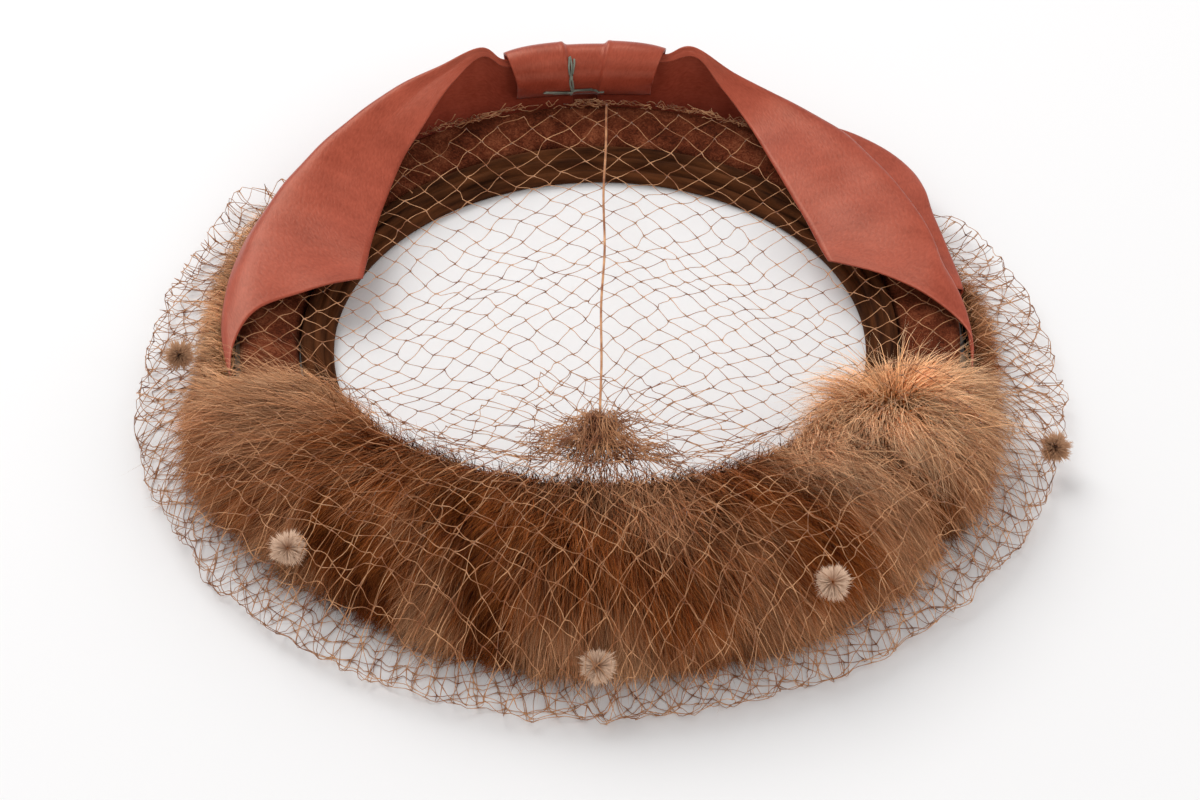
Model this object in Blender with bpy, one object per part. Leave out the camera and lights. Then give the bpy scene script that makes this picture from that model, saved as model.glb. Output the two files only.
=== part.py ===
"""Ring-shaped cocktail hat: a felt ring with a crescent of deep fur, satin ribbon wings and a net veil.

The hat rests on a table as it would by itself: +Z is up, the fur is in front (-Y), the satin knot at the
back (+Y). The origin is the bottom centre of the whole hat. Tables are in millimetres and degrees.
A bearing is the angle round the head opening from the front, positive towards +X.
A turn is the angle round the head opening from the back, the same way on both wings.
"""

from collections import namedtuple

import bmesh
import bpy
import numpy as np
from mathutils import Vector
from mathutils.bvhtree import BVHTree

MM = 0.001
GAP = 0.4  # clear space between neighbouring pieces

# Head opening: an oval whose centre lies behind the middle of the hat.
OPENING_HALF_WIDTH = 75.0
OPENING_HALF_DEPTH = 73.4
OPENING_CENTRE = (0.0, 16.53)

# Felt ring: an inverted U round the opening. Offsets are measured outwards from the opening's edge.
FELT_WALL = 2.0
FELT_INNER = 9.8
FELT_OUTER = 26.5
FELT_HEIGHT = 10.3
RING_SIDES = 44

# Inner band: the way its folds wander as they go round.
BAND_WANDER = 0.35
BAND_WAVES = 5.0

# Walls of the fabrics and the net.
BAND_WALL = 1.5
SATIN_WALL = 1.2
KNOT_WALL = 1.4
NET_WALL = 0.8

# Fur locks: how many side by side, how many rows down the outside and the inside of the roll.
LOCKS_ALONG = 33
OUTER_ROWS = 6
INNER_ROWS = 2
LOCK_HEIGHT = 0.12  # share of the roll's height that a lock stands out
LOCK_REACH = 4.8
HOLLOW_LIFT = 0.12  # how far the hollows between two locks' tips stand out, as a share of the locks
HOLLOW_REACH = -0.6
LIP_FLATTENING = 0.8
UNEVEN_LOCKS = (0.65, 1.25)
ROOT_SEAM = 0.008  # share of the arch between one row's roots and the next row's tips
CREST = 0.6  # where the fur parts: 0 at the outer foot of the roll, 1 at its inner lip
SLOPE_STEP = 0.02
FUR_FOOT = 3.0
LOWEST_TIP = 0.6
ARCH_POWER = 0.72
TUCK_UNDER = 7.0
FELT_CLEAR = 0.6
TUCK_CLEAR = 2.2

FurSection = namedtuple("FurSection", "bearing inner outer top lip corner")
FUR_SECTIONS = [
    FurSection(-127, 27.8, 31, 4.5, 3.0, 2.5),
    FurSection(-119, 27.8, 36, 7.5, 4.5, 4.0),
    FurSection(-102, 27.8, 38, 8.0, 5.0, 4.5),
    FurSection(-84, 27.6, 38, 8.2, 6.5, 6.0),
    FurSection(-78, 27.2, 41, 12.8, 11.6, 11.3),
    FurSection(-73, 19, 43, 19.0, 11.8, 11.2),
    FurSection(-68, 8, 45, 24.0, 10.6, 11.2),
    FurSection(-61, 2.5, 47, 28.0, 9.4, 11.2),
    FurSection(-45, 2.0, 51, 31.0, 9.4, 11.2),
    FurSection(-22, 2.0, 56, 35.0, 9.4, 11.2),
    FurSection(0, 2.0, 58, 37.0, 9.4, 11.2),
    FurSection(22, 2.0, 57, 35.5, 9.4, 11.2),
    FurSection(45, 2.0, 52, 32.0, 9.4, 11.2),
    FurSection(62, 2.5, 48, 30.0, 9.4, 11.2),
    FurSection(69, 8, 45, 27.0, 10.6, 11.2),
    FurSection(74, 19, 43, 20.0, 11.8, 11.2),
    FurSection(79, 27.2, 40, 12.8, 11.6, 11.3),
    FurSection(85, 27.6, 37, 8.2, 6.5, 6.0),
    FurSection(98, 27.8, 35, 7.5, 4.5, 4.0),
    FurSection(106, 27.8, 31, 4.5, 3.0, 2.5),
]

TALLEST = max(section.top for section in FUR_SECTIONS)

LockRow = namedtuple("LockRow", "share tip way number")  # tip: 1 at the tips, 0 at the roots

# A ribbon station: its lower outer edge (base), its bulge, its top fold and its free inner edge.
Station = namedtuple(
    "Station",
    "base_turn base_radius base_z belly fold_turn fold_radius fold_z edge_turn edge_radius edge_z",
)
RIBBON_LEFT = [
    Station(4.5, 103.2, 3, 0.2, 4.5, 103.4, 23.6, 4.5, 101.6, 22.6),
    Station(12, 103.4, 3, 0.3, 12, 103.8, 25.0, 12, 102.0, 24.2),
    Station(16, 103.6, 3, 0.4, 16.2, 104.2, 25.5, 16.2, 102.6, 24.7),
    Station(19.5, 104, 3, 0.5, 19.6, 106, 31.0, 19.8, 103.8, 30.0),
    Station(27, 105, 3, 1.0, 27, 107.3, 29.6, 26, 98.5, 27.0),
    Station(35, 106, 4, 1.2, 35, 107.3, 27.2, 33.5, 91.5, 22.5),
    Station(45, 107.2, 7, 1.0, 45, 106.8, 24.2, 42, 86, 17.5),
    Station(54, 108, 11.5, 0.6, 54, 106.2, 21.5, 51, 79.5, 14.6),
    Station(64, 108, 13.4, 0.4, 63.5, 106, 18.2, 61, 74, 13.6),
    Station(76, 107.5, 13.2, 0.3, 74, 104.3, 16.2, 69, 70.8, 13.4),
    Station(88, 107, 12.8, 0.2, 83.5, 99.5, 15.8, 72.5, 70.6, 13.4),
    Station(98, 106.2, 12.6, 0.1, 90, 95.2, 15.2, 75, 70.8, 13.4),
]
RIBBON_RIGHT = [
    Station(-0.5, 103.2, 3, 0.2, -0.5, 103.4, 23.6, -0.5, 101.6, 22.6),
    Station(8, 103.4, 3, 0.3, 8, 103.8, 25.4, 8, 102.0, 24.6),
    Station(11, 103.6, 3, 0.4, 11.2, 104.1, 25.8, 11.4, 102.5, 25.0),
    Station(14.5, 104, 3, 0.5, 15.2, 105, 29.0, 16.2, 102.5, 28.0),
    Station(24, 105, 3, 1.0, 23, 105.5, 22.5, 21.5, 99, 21.5),
    Station(34, 106.5, 3, 1.5, 33, 105.8, 18.5, 29, 91.5, 16.8),
    Station(44, 108.5, 3.5, 2.5, 43, 105.5, 16.8, 37, 82.5, 15.0),
    Station(55, 110, 8, 1.5, 54, 106.5, 16.5, 48, 75.5, 14.2),
    Station(65, 107.2, 13.2, 0.5, 64, 103.5, 16.2, 58, 71.5, 13.6),
    Station(78, 105.4, 13.2, 0.3, 74, 99.5, 15.8, 65, 69.5, 13.4),
    Station(88, 105.6, 12.9, 0.2, 80, 95.5, 15.4, 68, 69, 13.4),
    Station(97, 105.8, 12.6, 0.1, 85.5, 92.5, 15.0, 70.5, 69, 13.4),
]

RIBBON_STEPS = 19
# Places across a ribbon: 0 its base, 1 the bulge, 2 the fold, 3 the middle, 4 the free edge.
RIBBON_ACROSS = (0.0, 0.6, 1.2, 1.6, 1.85, 2.1, 2.5, 3.2, 4.0)
FOLD_SHARE = 0.55  # how near the middle line lies to the fold
MIDDLE_RISE = 0.5

# The satin knot's loop, from its front foot over the top to its back foot, and how far it runs each way.
KnotRow = namedtuple("KnotRow", "step radius z left_turn right_turn")
KNOT_ROWS = [
    KnotRow(0, 98.6, 13.0, 14.2, 8.6),
    KnotRow(1, 97.4, 17.0, 14.3, 8.8),
    KnotRow(2, 97.2, 22.0, 14.6, 9.3),
    KnotRow(3, 99.0, 26.8, 15.2, 10.0),
    KnotRow(4, 103.2, 28.9, 15.6, 10.6),
    KnotRow(5, 107.2, 26.8, 15.6, 10.6),
    KnotRow(6, 108.8, 20.0, 15.0, 10.0),
    KnotRow(7, 108.2, 11.0, 14.4, 9.0),
    KnotRow(8, 106.2, 2.0, 14.2, 8.6),
]
KNOT_STEPS = 15
KNOT_ACROSS = 11
KNOT_MIDDLE = (103.0, 17.0)  # radius and height inside the loop
KNOT_PUFF = 0.4
Pleat = namedtuple("Pleat", "turn depth")
PLEATS = (Pleat(-6.2, 1.3), Pleat(0.3, 1.1))
PLEAT_WIDTH = 1.3
END_DROP = 1.1
DENT_SHARE = 0.7
DENT_START_Z = 14.0
DENT_FADE = 8.0

# Veil: a diamond net, sewn along the back of the felt, falling to a hem on the table.
DIAMOND_WIDTH = 37.0
DIAMOND_DEPTH = 35.0
NET_PHASE = -6.2  # y of one row of cells
NET_ROWS = 10  # rows of cells before and behind the middle
NET_COLUMNS = 5
STRAND_WIDTH = 1.5
SOLID_CELL = 70.0  # mm2: a smaller cell at the net's edge stays closed
WELD = 0.4
SEWN_RADIUS = 97.2
SEWN_TURN = 40.0
SEWN_POINTS = 9
SKIRT_START_Y = 22.0
SKIRT_SHARE = 0.8  # share of the roll's width where the net leaves it
SKIRT_POWER = 1.35
HEM_HALF_WIDTH = 129.0
HEM_HALF_DEPTH = 122.5
HEM_CENTRE_Y = -20.0
HEM_HEIGHT = 1.0
HEM_POINTS = 33
NET_ON_FELT = 11.1
NET_OVER_LOCKS = 1.25
TENT_HALF_WIDTH = 62.0
TENT_BACK = 92.0
TENT_SIDE = -6.0
TENT_FRONT = -76.0
TENT_CREST = 0.86
TENT_BEARING = 75.0
DRAPE_ROUNDS = 5
DRAPE_CLEAR = 1.0
DRAPE_SAMPLES = 16
STEEPEST = 0.35  # upright share of the steepest face that the net is lifted from

# Thread from the back of the felt to the gather.
THREAD_RADIUS = 0.65
THREAD_SIDES = 6
THREAD_BACK_Y = 95.5
THREAD_BACK_LIFT = 1.6
THREAD_FRONT_GAP = 9.0
THREAD_FRONT_LIFT = 2.2

# How a tuft that lies on the net is seated: steps outwards until it is clear.
SEAT_START = -1.0
SEAT_END = 8.0
SEAT_STEP = 0.2
SLOPE_REACH = 3.0
UNEVEN_TUFT = (0.85, 1.12)

# Tufts: each ring's share of the radius, level and spike, from the foot to the crown.
Ring = namedtuple("Ring", "share level spike")
GATHER_POINT = (0.0, -69.0)
GATHER_RADIUS = 13.0
GATHER_HEIGHT = 7.0
GATHER_LOCKS = 9
GATHER_RINGS = (Ring(0.5, 0.0, 0.1), Ring(1.0, 0.16, 0.22), Ring(0.72, 0.5, 0.2), Ring(0.34, 1.0, 0.25))

# Chenille dots: (x, y) of each from the opening's centre.
DOT_RADIUS = 5.0
DOT_HEIGHT = 5.0
DOT_LOCKS = 9
DOT_RINGS = (Ring(0.45, 0.0, 0.1), Ring(1.0, 0.3, 0.16), Ring(0.9, 0.72, 0.16), Ring(0.4, 1.0, 0.1))
DOT_PLACES = ((-115.3, -18.0), (-79.0, -101.0), (-0.5, -136.0), (58.0, -116.0), (121.0, -50.0))


def clear_scene():
    """Remove whatever the scene holds."""
    for old in list(bpy.data.objects):
        bpy.data.objects.remove(old, do_unlink=True)


def make_material(name, colour, roughness):
    """A Principled material with one linear base colour."""
    material = bpy.data.materials.new(name)
    material.use_nodes = True
    shader = material.node_tree.nodes["Principled BSDF"]
    shader.inputs["Base Color"].default_value = (*colour, 1.0)
    shader.inputs["Roughness"].default_value = roughness
    shader.inputs["Metallic"].default_value = 0.0
    return material


def felt_material():
    """The felt: dark brown wool, matt."""
    return make_material("brown_wool_felt", (0.070, 0.026, 0.014), 0.95)


def band_material():
    """The inner band: brown velvet."""
    return make_material("brown_velvet", (0.105, 0.045, 0.020), 0.85)


def fur_material():
    """The fur: golden brown."""
    return make_material("golden_brown_fur", (0.230, 0.090, 0.032), 0.8)


def satin_material():
    """The ribbon: rust-coloured satin, with a soft gloss."""
    return make_material("rust_satin", (0.420, 0.110, 0.060), 0.38)


def net_material():
    """The veil and its thread: tan."""
    return make_material("tan_net", (0.360, 0.180, 0.090), 0.7)


def dot_material():
    """The dots: pinkish tan chenille."""
    return make_material("chenille", (0.450, 0.300, 0.220), 0.95)


def blend_rows(rows, at):
    """Smooth curve through a table: the first column is the position, each other one a value."""
    table = np.array(rows, dtype=float)
    knots, values = table[:, 0], table[:, 1:]
    slopes = np.gradient(values, knots, axis=0)
    index = np.clip(np.searchsorted(knots, at, side="right") - 1, 0, len(knots) - 2)
    step = (knots[index + 1] - knots[index])[:, None]
    t = (at - knots[index])[:, None] / step
    start, end = values[index], values[index + 1]
    pull_start, pull_end = slopes[index] * step, slopes[index + 1] * step
    eased = t * t * (3.0 - 2.0 * t)
    return (
        start * (1.0 - eased)
        + end * eased
        + pull_start * t * (1.0 - t) ** 2
        - pull_end * t * t * (1.0 - t)
    )


def opening_radius(bearing):
    """Radius of the oval head opening, in the direction of a bearing in degrees."""
    angle = np.radians(bearing)
    across, along = np.sin(angle) / OPENING_HALF_WIDTH, np.cos(angle) / OPENING_HALF_DEPTH
    return 1.0 / np.hypot(across, along)


def at_bearing(bearing, radius, z):
    """Points at a bearing from the front, a radius and a height, as (x, y, z) in millimetres."""
    angle = np.radians(bearing)
    return np.stack([radius * np.sin(angle), -radius * np.cos(angle), z + 0.0 * angle], axis=-1)


def place(points):
    """Millimetres about the opening's centre to metres about the hat's bottom centre."""
    return (np.asarray(points) + (*OPENING_CENTRE, 0.0)) * MM


def face_outwards(bm):
    """Weld doubled points and turn every face of a closed body outwards."""
    bmesh.ops.remove_doubles(bm, verts=bm.verts, dist=1e-6)
    bmesh.ops.recalc_face_normals(bm, faces=bm.faces)


def add_object(name, bm, material, hat):
    """Turn a bmesh into a smooth-shaded object, parented to the hat's empty."""
    mesh = bpy.data.meshes.new(name)
    bm.to_mesh(mesh)
    bm.free()
    mesh.shade_smooth()
    mesh.materials.append(material)
    piece = bpy.data.objects.new(name, mesh)
    piece.parent = hat
    bpy.context.collection.objects.link(piece)
    return piece


def add_wall(piece, thickness):
    """Give a sheet its wall, half on each side."""
    wall = piece.modifiers.new("wall", "SOLIDIFY")
    wall.thickness = thickness * MM
    wall.offset = 0.0
    wall.use_even_offset = False


def grid_bmesh(points, round_rows=False, round_columns=False, capped=False):
    """A grid of quads over points[row, column]; a round direction joins its last line to its first."""
    rows, columns = points.shape[:2]
    bm = bmesh.new()
    verts = [[bm.verts.new(place(p)) for p in line] for line in points]
    for i in range(rows if round_rows else rows - 1):
        for j in range(columns if round_columns else columns - 1):
            a, b = verts[i], verts[(i + 1) % rows]
            k = (j + 1) % columns
            bm.faces.new((a[j], a[k], b[k], b[j]))
    if capped:
        for line in (verts[0], verts[-1]):
            middle = bm.verts.new(sum((v.co for v in line[1:]), line[0].co.copy()) / len(line))
            for j in range(columns):
                bm.faces.new((line[j], line[(j + 1) % columns], middle))
    face_outwards(bm)
    return bm


def felt_profile():
    """Offsets and heights round the felt's section: an inverted U with a gently domed top."""
    inner, outer, top, wall = FELT_INNER, FELT_OUTER, FELT_HEIGHT, FELT_WALL
    skin = [
        (inner, 0.0),
        (inner, top - 4.2),
        (inner + 1.8, top - 2.4),
        (outer - 7.0, top - 0.4),
        (outer - 1.2, top - 0.2),
        (outer, top - 2.0),
        (outer, 0.0),
    ]
    lining = [
        (outer - wall, 0.0),
        (outer - wall, top - wall - 0.6),
        (inner + wall + 0.8, top - wall - 2.4),
        (inner + wall, 0.0),
    ]
    return np.array(skin + lining)


def felt_ring(hat):
    """The felt body: its section carried round the oval opening."""
    bearings = np.arange(RING_SIDES) * 360.0 / RING_SIDES
    profile = felt_profile()
    bearing, offset = np.meshgrid(bearings, profile[:, 0], indexing="ij")
    height = np.broadcast_to(profile[:, 1], offset.shape)
    points = at_bearing(bearing, opening_radius(bearing) + offset, height)
    return add_object("felt_ring", grid_bmesh(points, True, True), felt_material(), hat)


def inner_band(hat):
    """The draped band: a sheet from the opening's foot over the felt's inner edge, in soft folds."""
    fold_rows = [  # step across the band, offset, height
        (0, 0.9, 0.8),
        (1, 0.8, 3.2),
        (2, 2.6, 3.9),
        (3, 3.5, 5.8),
        (4, 5.6, 5.9),
        (5, 7.2, 7.3),
        (6, 8.7, 5.6),
    ]
    bearings = np.arange(RING_SIDES) * 360.0 / RING_SIDES
    profile = np.array(fold_rows)
    bearing, offset = np.meshgrid(bearings, profile[:, 1], indexing="ij")
    height = np.broadcast_to(profile[:, 2], offset.shape)
    inside = np.sin(np.pi * profile[:, 0] / profile[-1, 0])[None, :]
    wander = BAND_WANDER * inside * np.sin(np.radians(BAND_WAVES * bearing) + profile[None, :, 0])
    points = at_bearing(bearing, opening_radius(bearing) + offset, height + wander)
    band = add_object("inner_band", grid_bmesh(points, True, False), band_material(), hat)
    add_wall(band, BAND_WALL)
    return band


def fur_shape(bearing):
    """The fur table read at bearings: inner and outer offset, top, lip and corner heights."""
    first, last = FUR_SECTIONS[0].bearing, FUR_SECTIONS[-1].bearing
    return blend_rows(FUR_SECTIONS, np.clip(bearing, first, last)).T


def fur_arch(share, inner, outer, top, lip):
    """Offset and height on the roll's arch: share 0 is its outer foot, share 1 its inner lip."""
    angle = np.pi * share
    flat = np.sign(np.cos(angle)) * np.abs(np.cos(angle)) ** ARCH_POWER
    rise = np.abs(np.sin(angle)) ** ARCH_POWER
    base = FUR_FOOT + (lip - FUR_FOOT) * share
    offset = (outer + inner) / 2.0 + (outer - inner) / 2.0 * flat
    return offset, base + np.maximum(top - base, 0.0) * rise


def lock_rows():
    """Rows of points over the arch: each row of locks has its roots and its tips."""
    outer = np.linspace(0.0, CREST, OUTER_ROWS + 1)
    inner = np.linspace(CREST, 1.0, INNER_ROWS + 1)
    rows = []
    for number in range(OUTER_ROWS):
        rows += [
            LockRow(outer[number], 1.0, -1.0, number),
            LockRow(outer[number + 1] - ROOT_SEAM, 0.0, -1.0, number),
        ]
    for number in range(INNER_ROWS):
        rows += [
            LockRow(inner[number] + ROOT_SEAM, 0.0, 1.0, OUTER_ROWS + number),
            LockRow(inner[number + 1], 1.0, 1.0, OUTER_ROWS + number),
        ]
    return LockRow(*np.array(rows).T[:, None, :])


def fur_roll(hat):
    """The roll of fur: shingled, pointed locks over an arched backing that straddles the felt."""
    rows = lock_rows()
    columns = 2 * LOCKS_ALONG + 1
    bearings = np.linspace(FUR_SECTIONS[0].bearing, FUR_SECTIONS[-1].bearing, columns)
    inner, outer, top, lip, corner = fur_shape(bearings)[:, :, None]
    offset, height = fur_arch(rows.share, inner, outer, top, lip)
    ahead, ahead_z = fur_arch(np.clip(rows.share - SLOPE_STEP, 0.0, 1.0), inner, outer, top, lip)
    behind, behind_z = fur_arch(np.clip(rows.share + SLOPE_STEP, 0.0, 1.0), inner, outer, top, lip)
    along = np.stack([ahead - behind, ahead_z - behind_z], axis=-1)
    along /= np.linalg.norm(along, axis=-1, keepdims=True)
    out = np.stack([-along[..., 1], along[..., 0]], axis=-1)
    out *= np.sign(out[..., 1:] + 1e-9)

    ridge = (np.arange(columns)[:, None] + rows.number) % 2
    uneven = np.random.default_rng(11).uniform(*UNEVEN_LOCKS, (columns, rows.share.size))
    at_lip = (rows.share > 0.99).astype(float)
    size = np.clip(top / TALLEST, 0.15, 1.0)
    lift = rows.tip * np.where(ridge, 1.0, HOLLOW_LIFT) * uneven * LOCK_HEIGHT * top
    lift *= 1.0 - LIP_FLATTENING * at_lip
    reach = rows.tip * np.where(ridge, 1.0, HOLLOW_REACH) * uneven * LOCK_REACH * size * (1.0 - at_lip)
    reach *= -rows.way
    reach = np.where((rows.share < 0.01) & (rows.tip > 0), 0.0, reach)
    offset = offset + out[..., 0] * lift + along[..., 0] * reach
    height = np.maximum(height + out[..., 1] * lift + along[..., 1] * reach, LOWEST_TIP)

    beside_felt = np.maximum(inner + 0.3, FELT_OUTER + FELT_CLEAR)
    under = [
        (inner, lip),
        (beside_felt, corner),
        (beside_felt, 0.0 * corner),
        (np.maximum(outer - TUCK_UNDER, FELT_OUTER + TUCK_CLEAR), 0.0 * corner),
    ]
    offset = np.concatenate([offset[:, :-1]] + [u[0] for u in under], axis=1)
    height = np.concatenate([height[:, :-1]] + [u[1] for u in under], axis=1)
    bearing = np.broadcast_to(bearings[:, None], offset.shape)
    points = at_bearing(bearing, opening_radius(bearing) + offset, height)
    bm = grid_bmesh(points, round_columns=True, capped=True)
    return add_object("fur_roll", bm, fur_material(), hat)


def ribbon(name, stations, side, hat):
    """A satin wing: a sheet through its base, bulge, fold and free edge at each station."""
    table = np.array(stations)
    numbered = np.column_stack([np.arange(len(table)), table])
    steps = np.linspace(0.0, len(table) - 1.0, RIBBON_STEPS)
    read = Station(*blend_rows(numbered, steps).T)
    belly_turn = (read.base_turn + read.fold_turn) / 2.0
    belly_radius = np.maximum(read.base_radius, read.fold_radius) + read.belly
    belly_z = (read.base_z + read.fold_z) / 2.0
    middle_turn = FOLD_SHARE * read.fold_turn + (1.0 - FOLD_SHARE) * read.edge_turn
    middle_radius = FOLD_SHARE * read.fold_radius + (1.0 - FOLD_SHARE) * read.edge_radius
    middle_z = 0.5 * (read.fold_z + read.edge_z) + MIDDLE_RISE
    across = [
        (0.0, read.base_turn, read.base_radius, read.base_z),
        (1.0, belly_turn, belly_radius, belly_z),
        (2.0, read.fold_turn, read.fold_radius, read.fold_z),
        (3.0, middle_turn, middle_radius, middle_z),
        (4.0, read.edge_turn, read.edge_radius, read.edge_z),
    ]
    sections = [[(c[0], c[1][k], c[2][k], c[3][k]) for c in across] for k in range(RIBBON_STEPS)]
    lines = np.array([blend_rows(section, np.array(RIBBON_ACROSS)) for section in sections])
    turn, radius, height = np.moveaxis(lines, -1, 0)
    points = at_bearing(side * (180.0 - turn), radius, height)
    wing = add_object(name, grid_bmesh(points), satin_material(), hat)
    add_wall(wing, SATIN_WALL)
    return wing


def satin_knot(hat):
    """The pleated loop: a sheet over the ribbons' ends, from front foot to back foot."""
    rows = blend_rows(KNOT_ROWS, np.linspace(0.0, KNOT_ROWS[-1].step, KNOT_STEPS))
    radius, height, left, right = rows.T[:, :, None]
    share = np.linspace(0.0, 1.0, KNOT_ACROSS)[None, :]
    turn = -left + (left + right) * share
    inward = sum(pleat.depth * np.exp(-(((turn - pleat.turn) / PLEAT_WIDTH) ** 2)) for pleat in PLEATS)
    ends = END_DROP * np.abs(2.0 * share - 1.0) ** 6
    away = np.stack([radius - KNOT_MIDDLE[0], height - KNOT_MIDDLE[1]], axis=-1)
    away = away / np.linalg.norm(away, axis=-1, keepdims=True)
    dent = (inward + ends) * np.clip((height - DENT_START_Z) / DENT_FADE, 0.0, 1.0) * DENT_SHARE
    puff = KNOT_PUFF * (1.0 - np.abs(2.0 * share - 1.0) ** 2)
    radius = radius + away[..., 0] * (puff - dent)
    height = height + away[..., 1] * (puff - dent)
    points = at_bearing(180.0 - turn, radius, height)
    knot = add_object("satin_knot", grid_bmesh(points), satin_material(), hat)
    add_wall(knot, KNOT_WALL)
    return knot


def hem_outline():
    """The veil's outline seen from above: the sewn arc at the back, then the hem round to the front."""
    turns = np.linspace(-SEWN_TURN, SEWN_TURN, SEWN_POINTS)
    sewn = at_bearing(180.0 - turns, SEWN_RADIUS, 0.0)[:, :2]
    start = np.arccos((HEM_CENTRE_Y - SKIRT_START_Y) / HEM_HALF_DEPTH)
    sweep = np.linspace(start, -start, HEM_POINTS)
    hem_x = HEM_HALF_WIDTH * np.sin(sweep)
    hem_y = HEM_CENTRE_Y - HEM_HALF_DEPTH * np.cos(sweep)
    return np.concatenate([sewn, np.stack([hem_x, hem_y], axis=-1)])


def hem_radius(bearing):
    """Distance of the veil's outline from the opening's centre, at bearings in degrees."""
    outline = hem_outline()
    angles = np.degrees(np.arctan2(outline[:, 0], -outline[:, 1]))
    order = np.argsort(angles)
    return np.interp(bearing, angles[order], np.hypot(*outline[order].T), period=360.0)


def clip_polygon(polygon, outline):
    """The part of a convex polygon that lies inside a convex outline, edge by edge."""
    middle = outline.mean(axis=0)
    for a, b in zip(outline, np.roll(outline, -1, axis=0)):
        normal = np.array([a[1] - b[1], b[0] - a[0]])
        normal = normal * np.sign(normal @ (middle - a))
        kept = []
        for p, q in zip(polygon, polygon[1:] + polygon[:1]):
            depth_p, depth_q = normal @ (p - a), normal @ (q - a)
            if depth_p >= 0.0:
                kept.append(p)
            if (depth_p > 0.0 > depth_q) or (depth_p < 0.0 < depth_q):
                kept.append(p + (q - p) * depth_p / (depth_p - depth_q))
        polygon = kept
        if len(polygon) < 3:
            return []
    return polygon


def fur_height(bearing, radius):
    """Height of the fur's backing under a point, zero where there is none."""
    inner, outer, top, lip, _ = fur_shape(bearing)
    offset = radius - opening_radius(bearing)
    flat = np.clip((offset - (outer + inner) / 2.0) / ((outer - inner) / 2.0), -1.0, 1.0)
    cosine = np.sign(flat) * np.abs(flat) ** (1.0 / ARCH_POWER)
    share = np.arccos(cosine) / np.pi
    _, height = fur_arch(share, inner, outer, top, lip)
    ends = (bearing > FUR_SECTIONS[0].bearing) & (bearing < FUR_SECTIONS[-1].bearing)
    return np.where(ends, height, 0.0)


def veil_height(x, y):
    """Height of the net over a point: tented over the opening, over the fur, then down its skirt."""
    bearing = np.degrees(np.arctan2(x, -y))
    radius = np.hypot(x, y)
    inner, outer, top, _, _ = fur_shape(bearing)
    leaves = np.maximum(inner + SKIRT_SHARE * (outer - inner), FELT_OUTER + 1.5)
    start = opening_radius(bearing) + leaves
    on_fur = fur_height(bearing, np.minimum(radius, start)) + 1.0 + NET_OVER_LOCKS * LOCK_HEIGHT * top
    inside = np.maximum(inner, 0.0) + opening_radius(bearing)
    on_fur = np.where(radius > inside - 2.0, on_fur, 0.0)
    side = np.clip(np.abs(x) / TENT_HALF_WIDTH, 0.0, 1.0)
    back = TENT_SIDE + (TENT_BACK - TENT_SIDE) * (0.5 + 0.5 * np.cos(np.pi * side))
    rise = np.clip((back - y) / (back - TENT_FRONT), 0.0, 1.0)
    crest = fur_shape(np.clip(bearing, -TENT_BEARING, TENT_BEARING))[2] * TENT_CREST
    tent = NET_ON_FELT + np.maximum(crest - NET_ON_FELT, 0.0) * rise
    surface = np.maximum(np.maximum(tent, on_fur), NET_ON_FELT)
    reach = hem_radius(bearing)
    fall = np.clip((radius - start) / np.maximum(reach - start, 1.0), 0.0, 1.0)
    skirt = surface + (HEM_HEIGHT - surface) * fall**SKIRT_POWER
    return np.where(radius > start, skirt, surface)


def surface_trees(pieces):
    """Search trees over finished pieces, walls included."""
    view = bpy.context.evaluated_depsgraph_get()
    return [BVHTree.FromObject(piece, view) for piece in pieces]


def drape_over(bm, carriers):
    """Raise each strand's faces until they clear the pieces that they lie on, more where those are steep."""
    trees = surface_trees(carriers)
    clear = (NET_WALL / 2.0 + DRAPE_CLEAR) * MM
    down = Vector((0.0, 0.0, -1.0))
    for _ in range(DRAPE_ROUNDS):
        lifts = {}
        for face in bm.faces:
            corners = [v.co for v in face.verts]
            sides = list(zip(corners, corners[1:] + corners[:1]))
            spots = [a.lerp(b, share) for a, b in sides for share in np.linspace(0.0, 0.9, DRAPE_SAMPLES)]
            need = 0.0
            for spot in spots:
                for tree in trees:
                    hit, normal, _, _ = tree.ray_cast(Vector((spot.x, spot.y, 1.0)), down)
                    if hit is not None:
                        need = max(need, hit.z + clear / max(normal.z, STEEPEST) - spot.z)
            for vert in face.verts:
                lifts[vert] = max(need, lifts.get(vert, 0.0))
        for vert, lift in lifts.items():
            vert.co.z += lift


def veil_net(carriers, hat):
    """The coarse diamond net: each cell inset by half a strand and opened, then given its wall."""
    outline = hem_outline()
    half_w, half_d = DIAMOND_WIDTH / 2.0, DIAMOND_DEPTH / 2.0
    corners = np.array([(half_w, 0.0), (0.0, half_d), (-half_w, 0.0), (0.0, -half_d)])
    bm = bmesh.new()
    around = np.roll(corners, -1, axis=0)
    for row in range(-NET_ROWS, NET_ROWS + 1):
        for column in range(-NET_COLUMNS, NET_COLUMNS + 1):
            middle = np.array([(column + 0.5 * (row % 2)) * DIAMOND_WIDTH, row * half_d + NET_PHASE])
            polygon = np.stack([corners, (corners + around) / 2.0], axis=1).reshape(-1, 2) + middle
            cell = clip_polygon(list(polygon), outline)
            if len(cell) > 2:
                bm.faces.new([bm.verts.new((*p, 0.0)) for p in cell])
    bmesh.ops.remove_doubles(bm, verts=bm.verts, dist=WELD)
    bmesh.ops.recalc_face_normals(bm, faces=bm.faces)
    open_cells = [f for f in bm.faces if f.calc_area() > SOLID_CELL]
    bmesh.ops.inset_individual(bm, faces=open_cells, thickness=STRAND_WIDTH / 2.0, use_even_offset=True)
    bmesh.ops.delete(bm, geom=open_cells, context="FACES")
    flat = np.array([v.co for v in bm.verts])
    lifted = place(np.column_stack([flat[:, :2], veil_height(flat[:, 0], flat[:, 1])]))
    for vert, point in zip(bm.verts, lifted):
        vert.co = point
    drape_over(bm, carriers)
    net = add_object("veil_net", bm, net_material(), hat)
    add_wall(net, NET_WALL)
    return net


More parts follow.
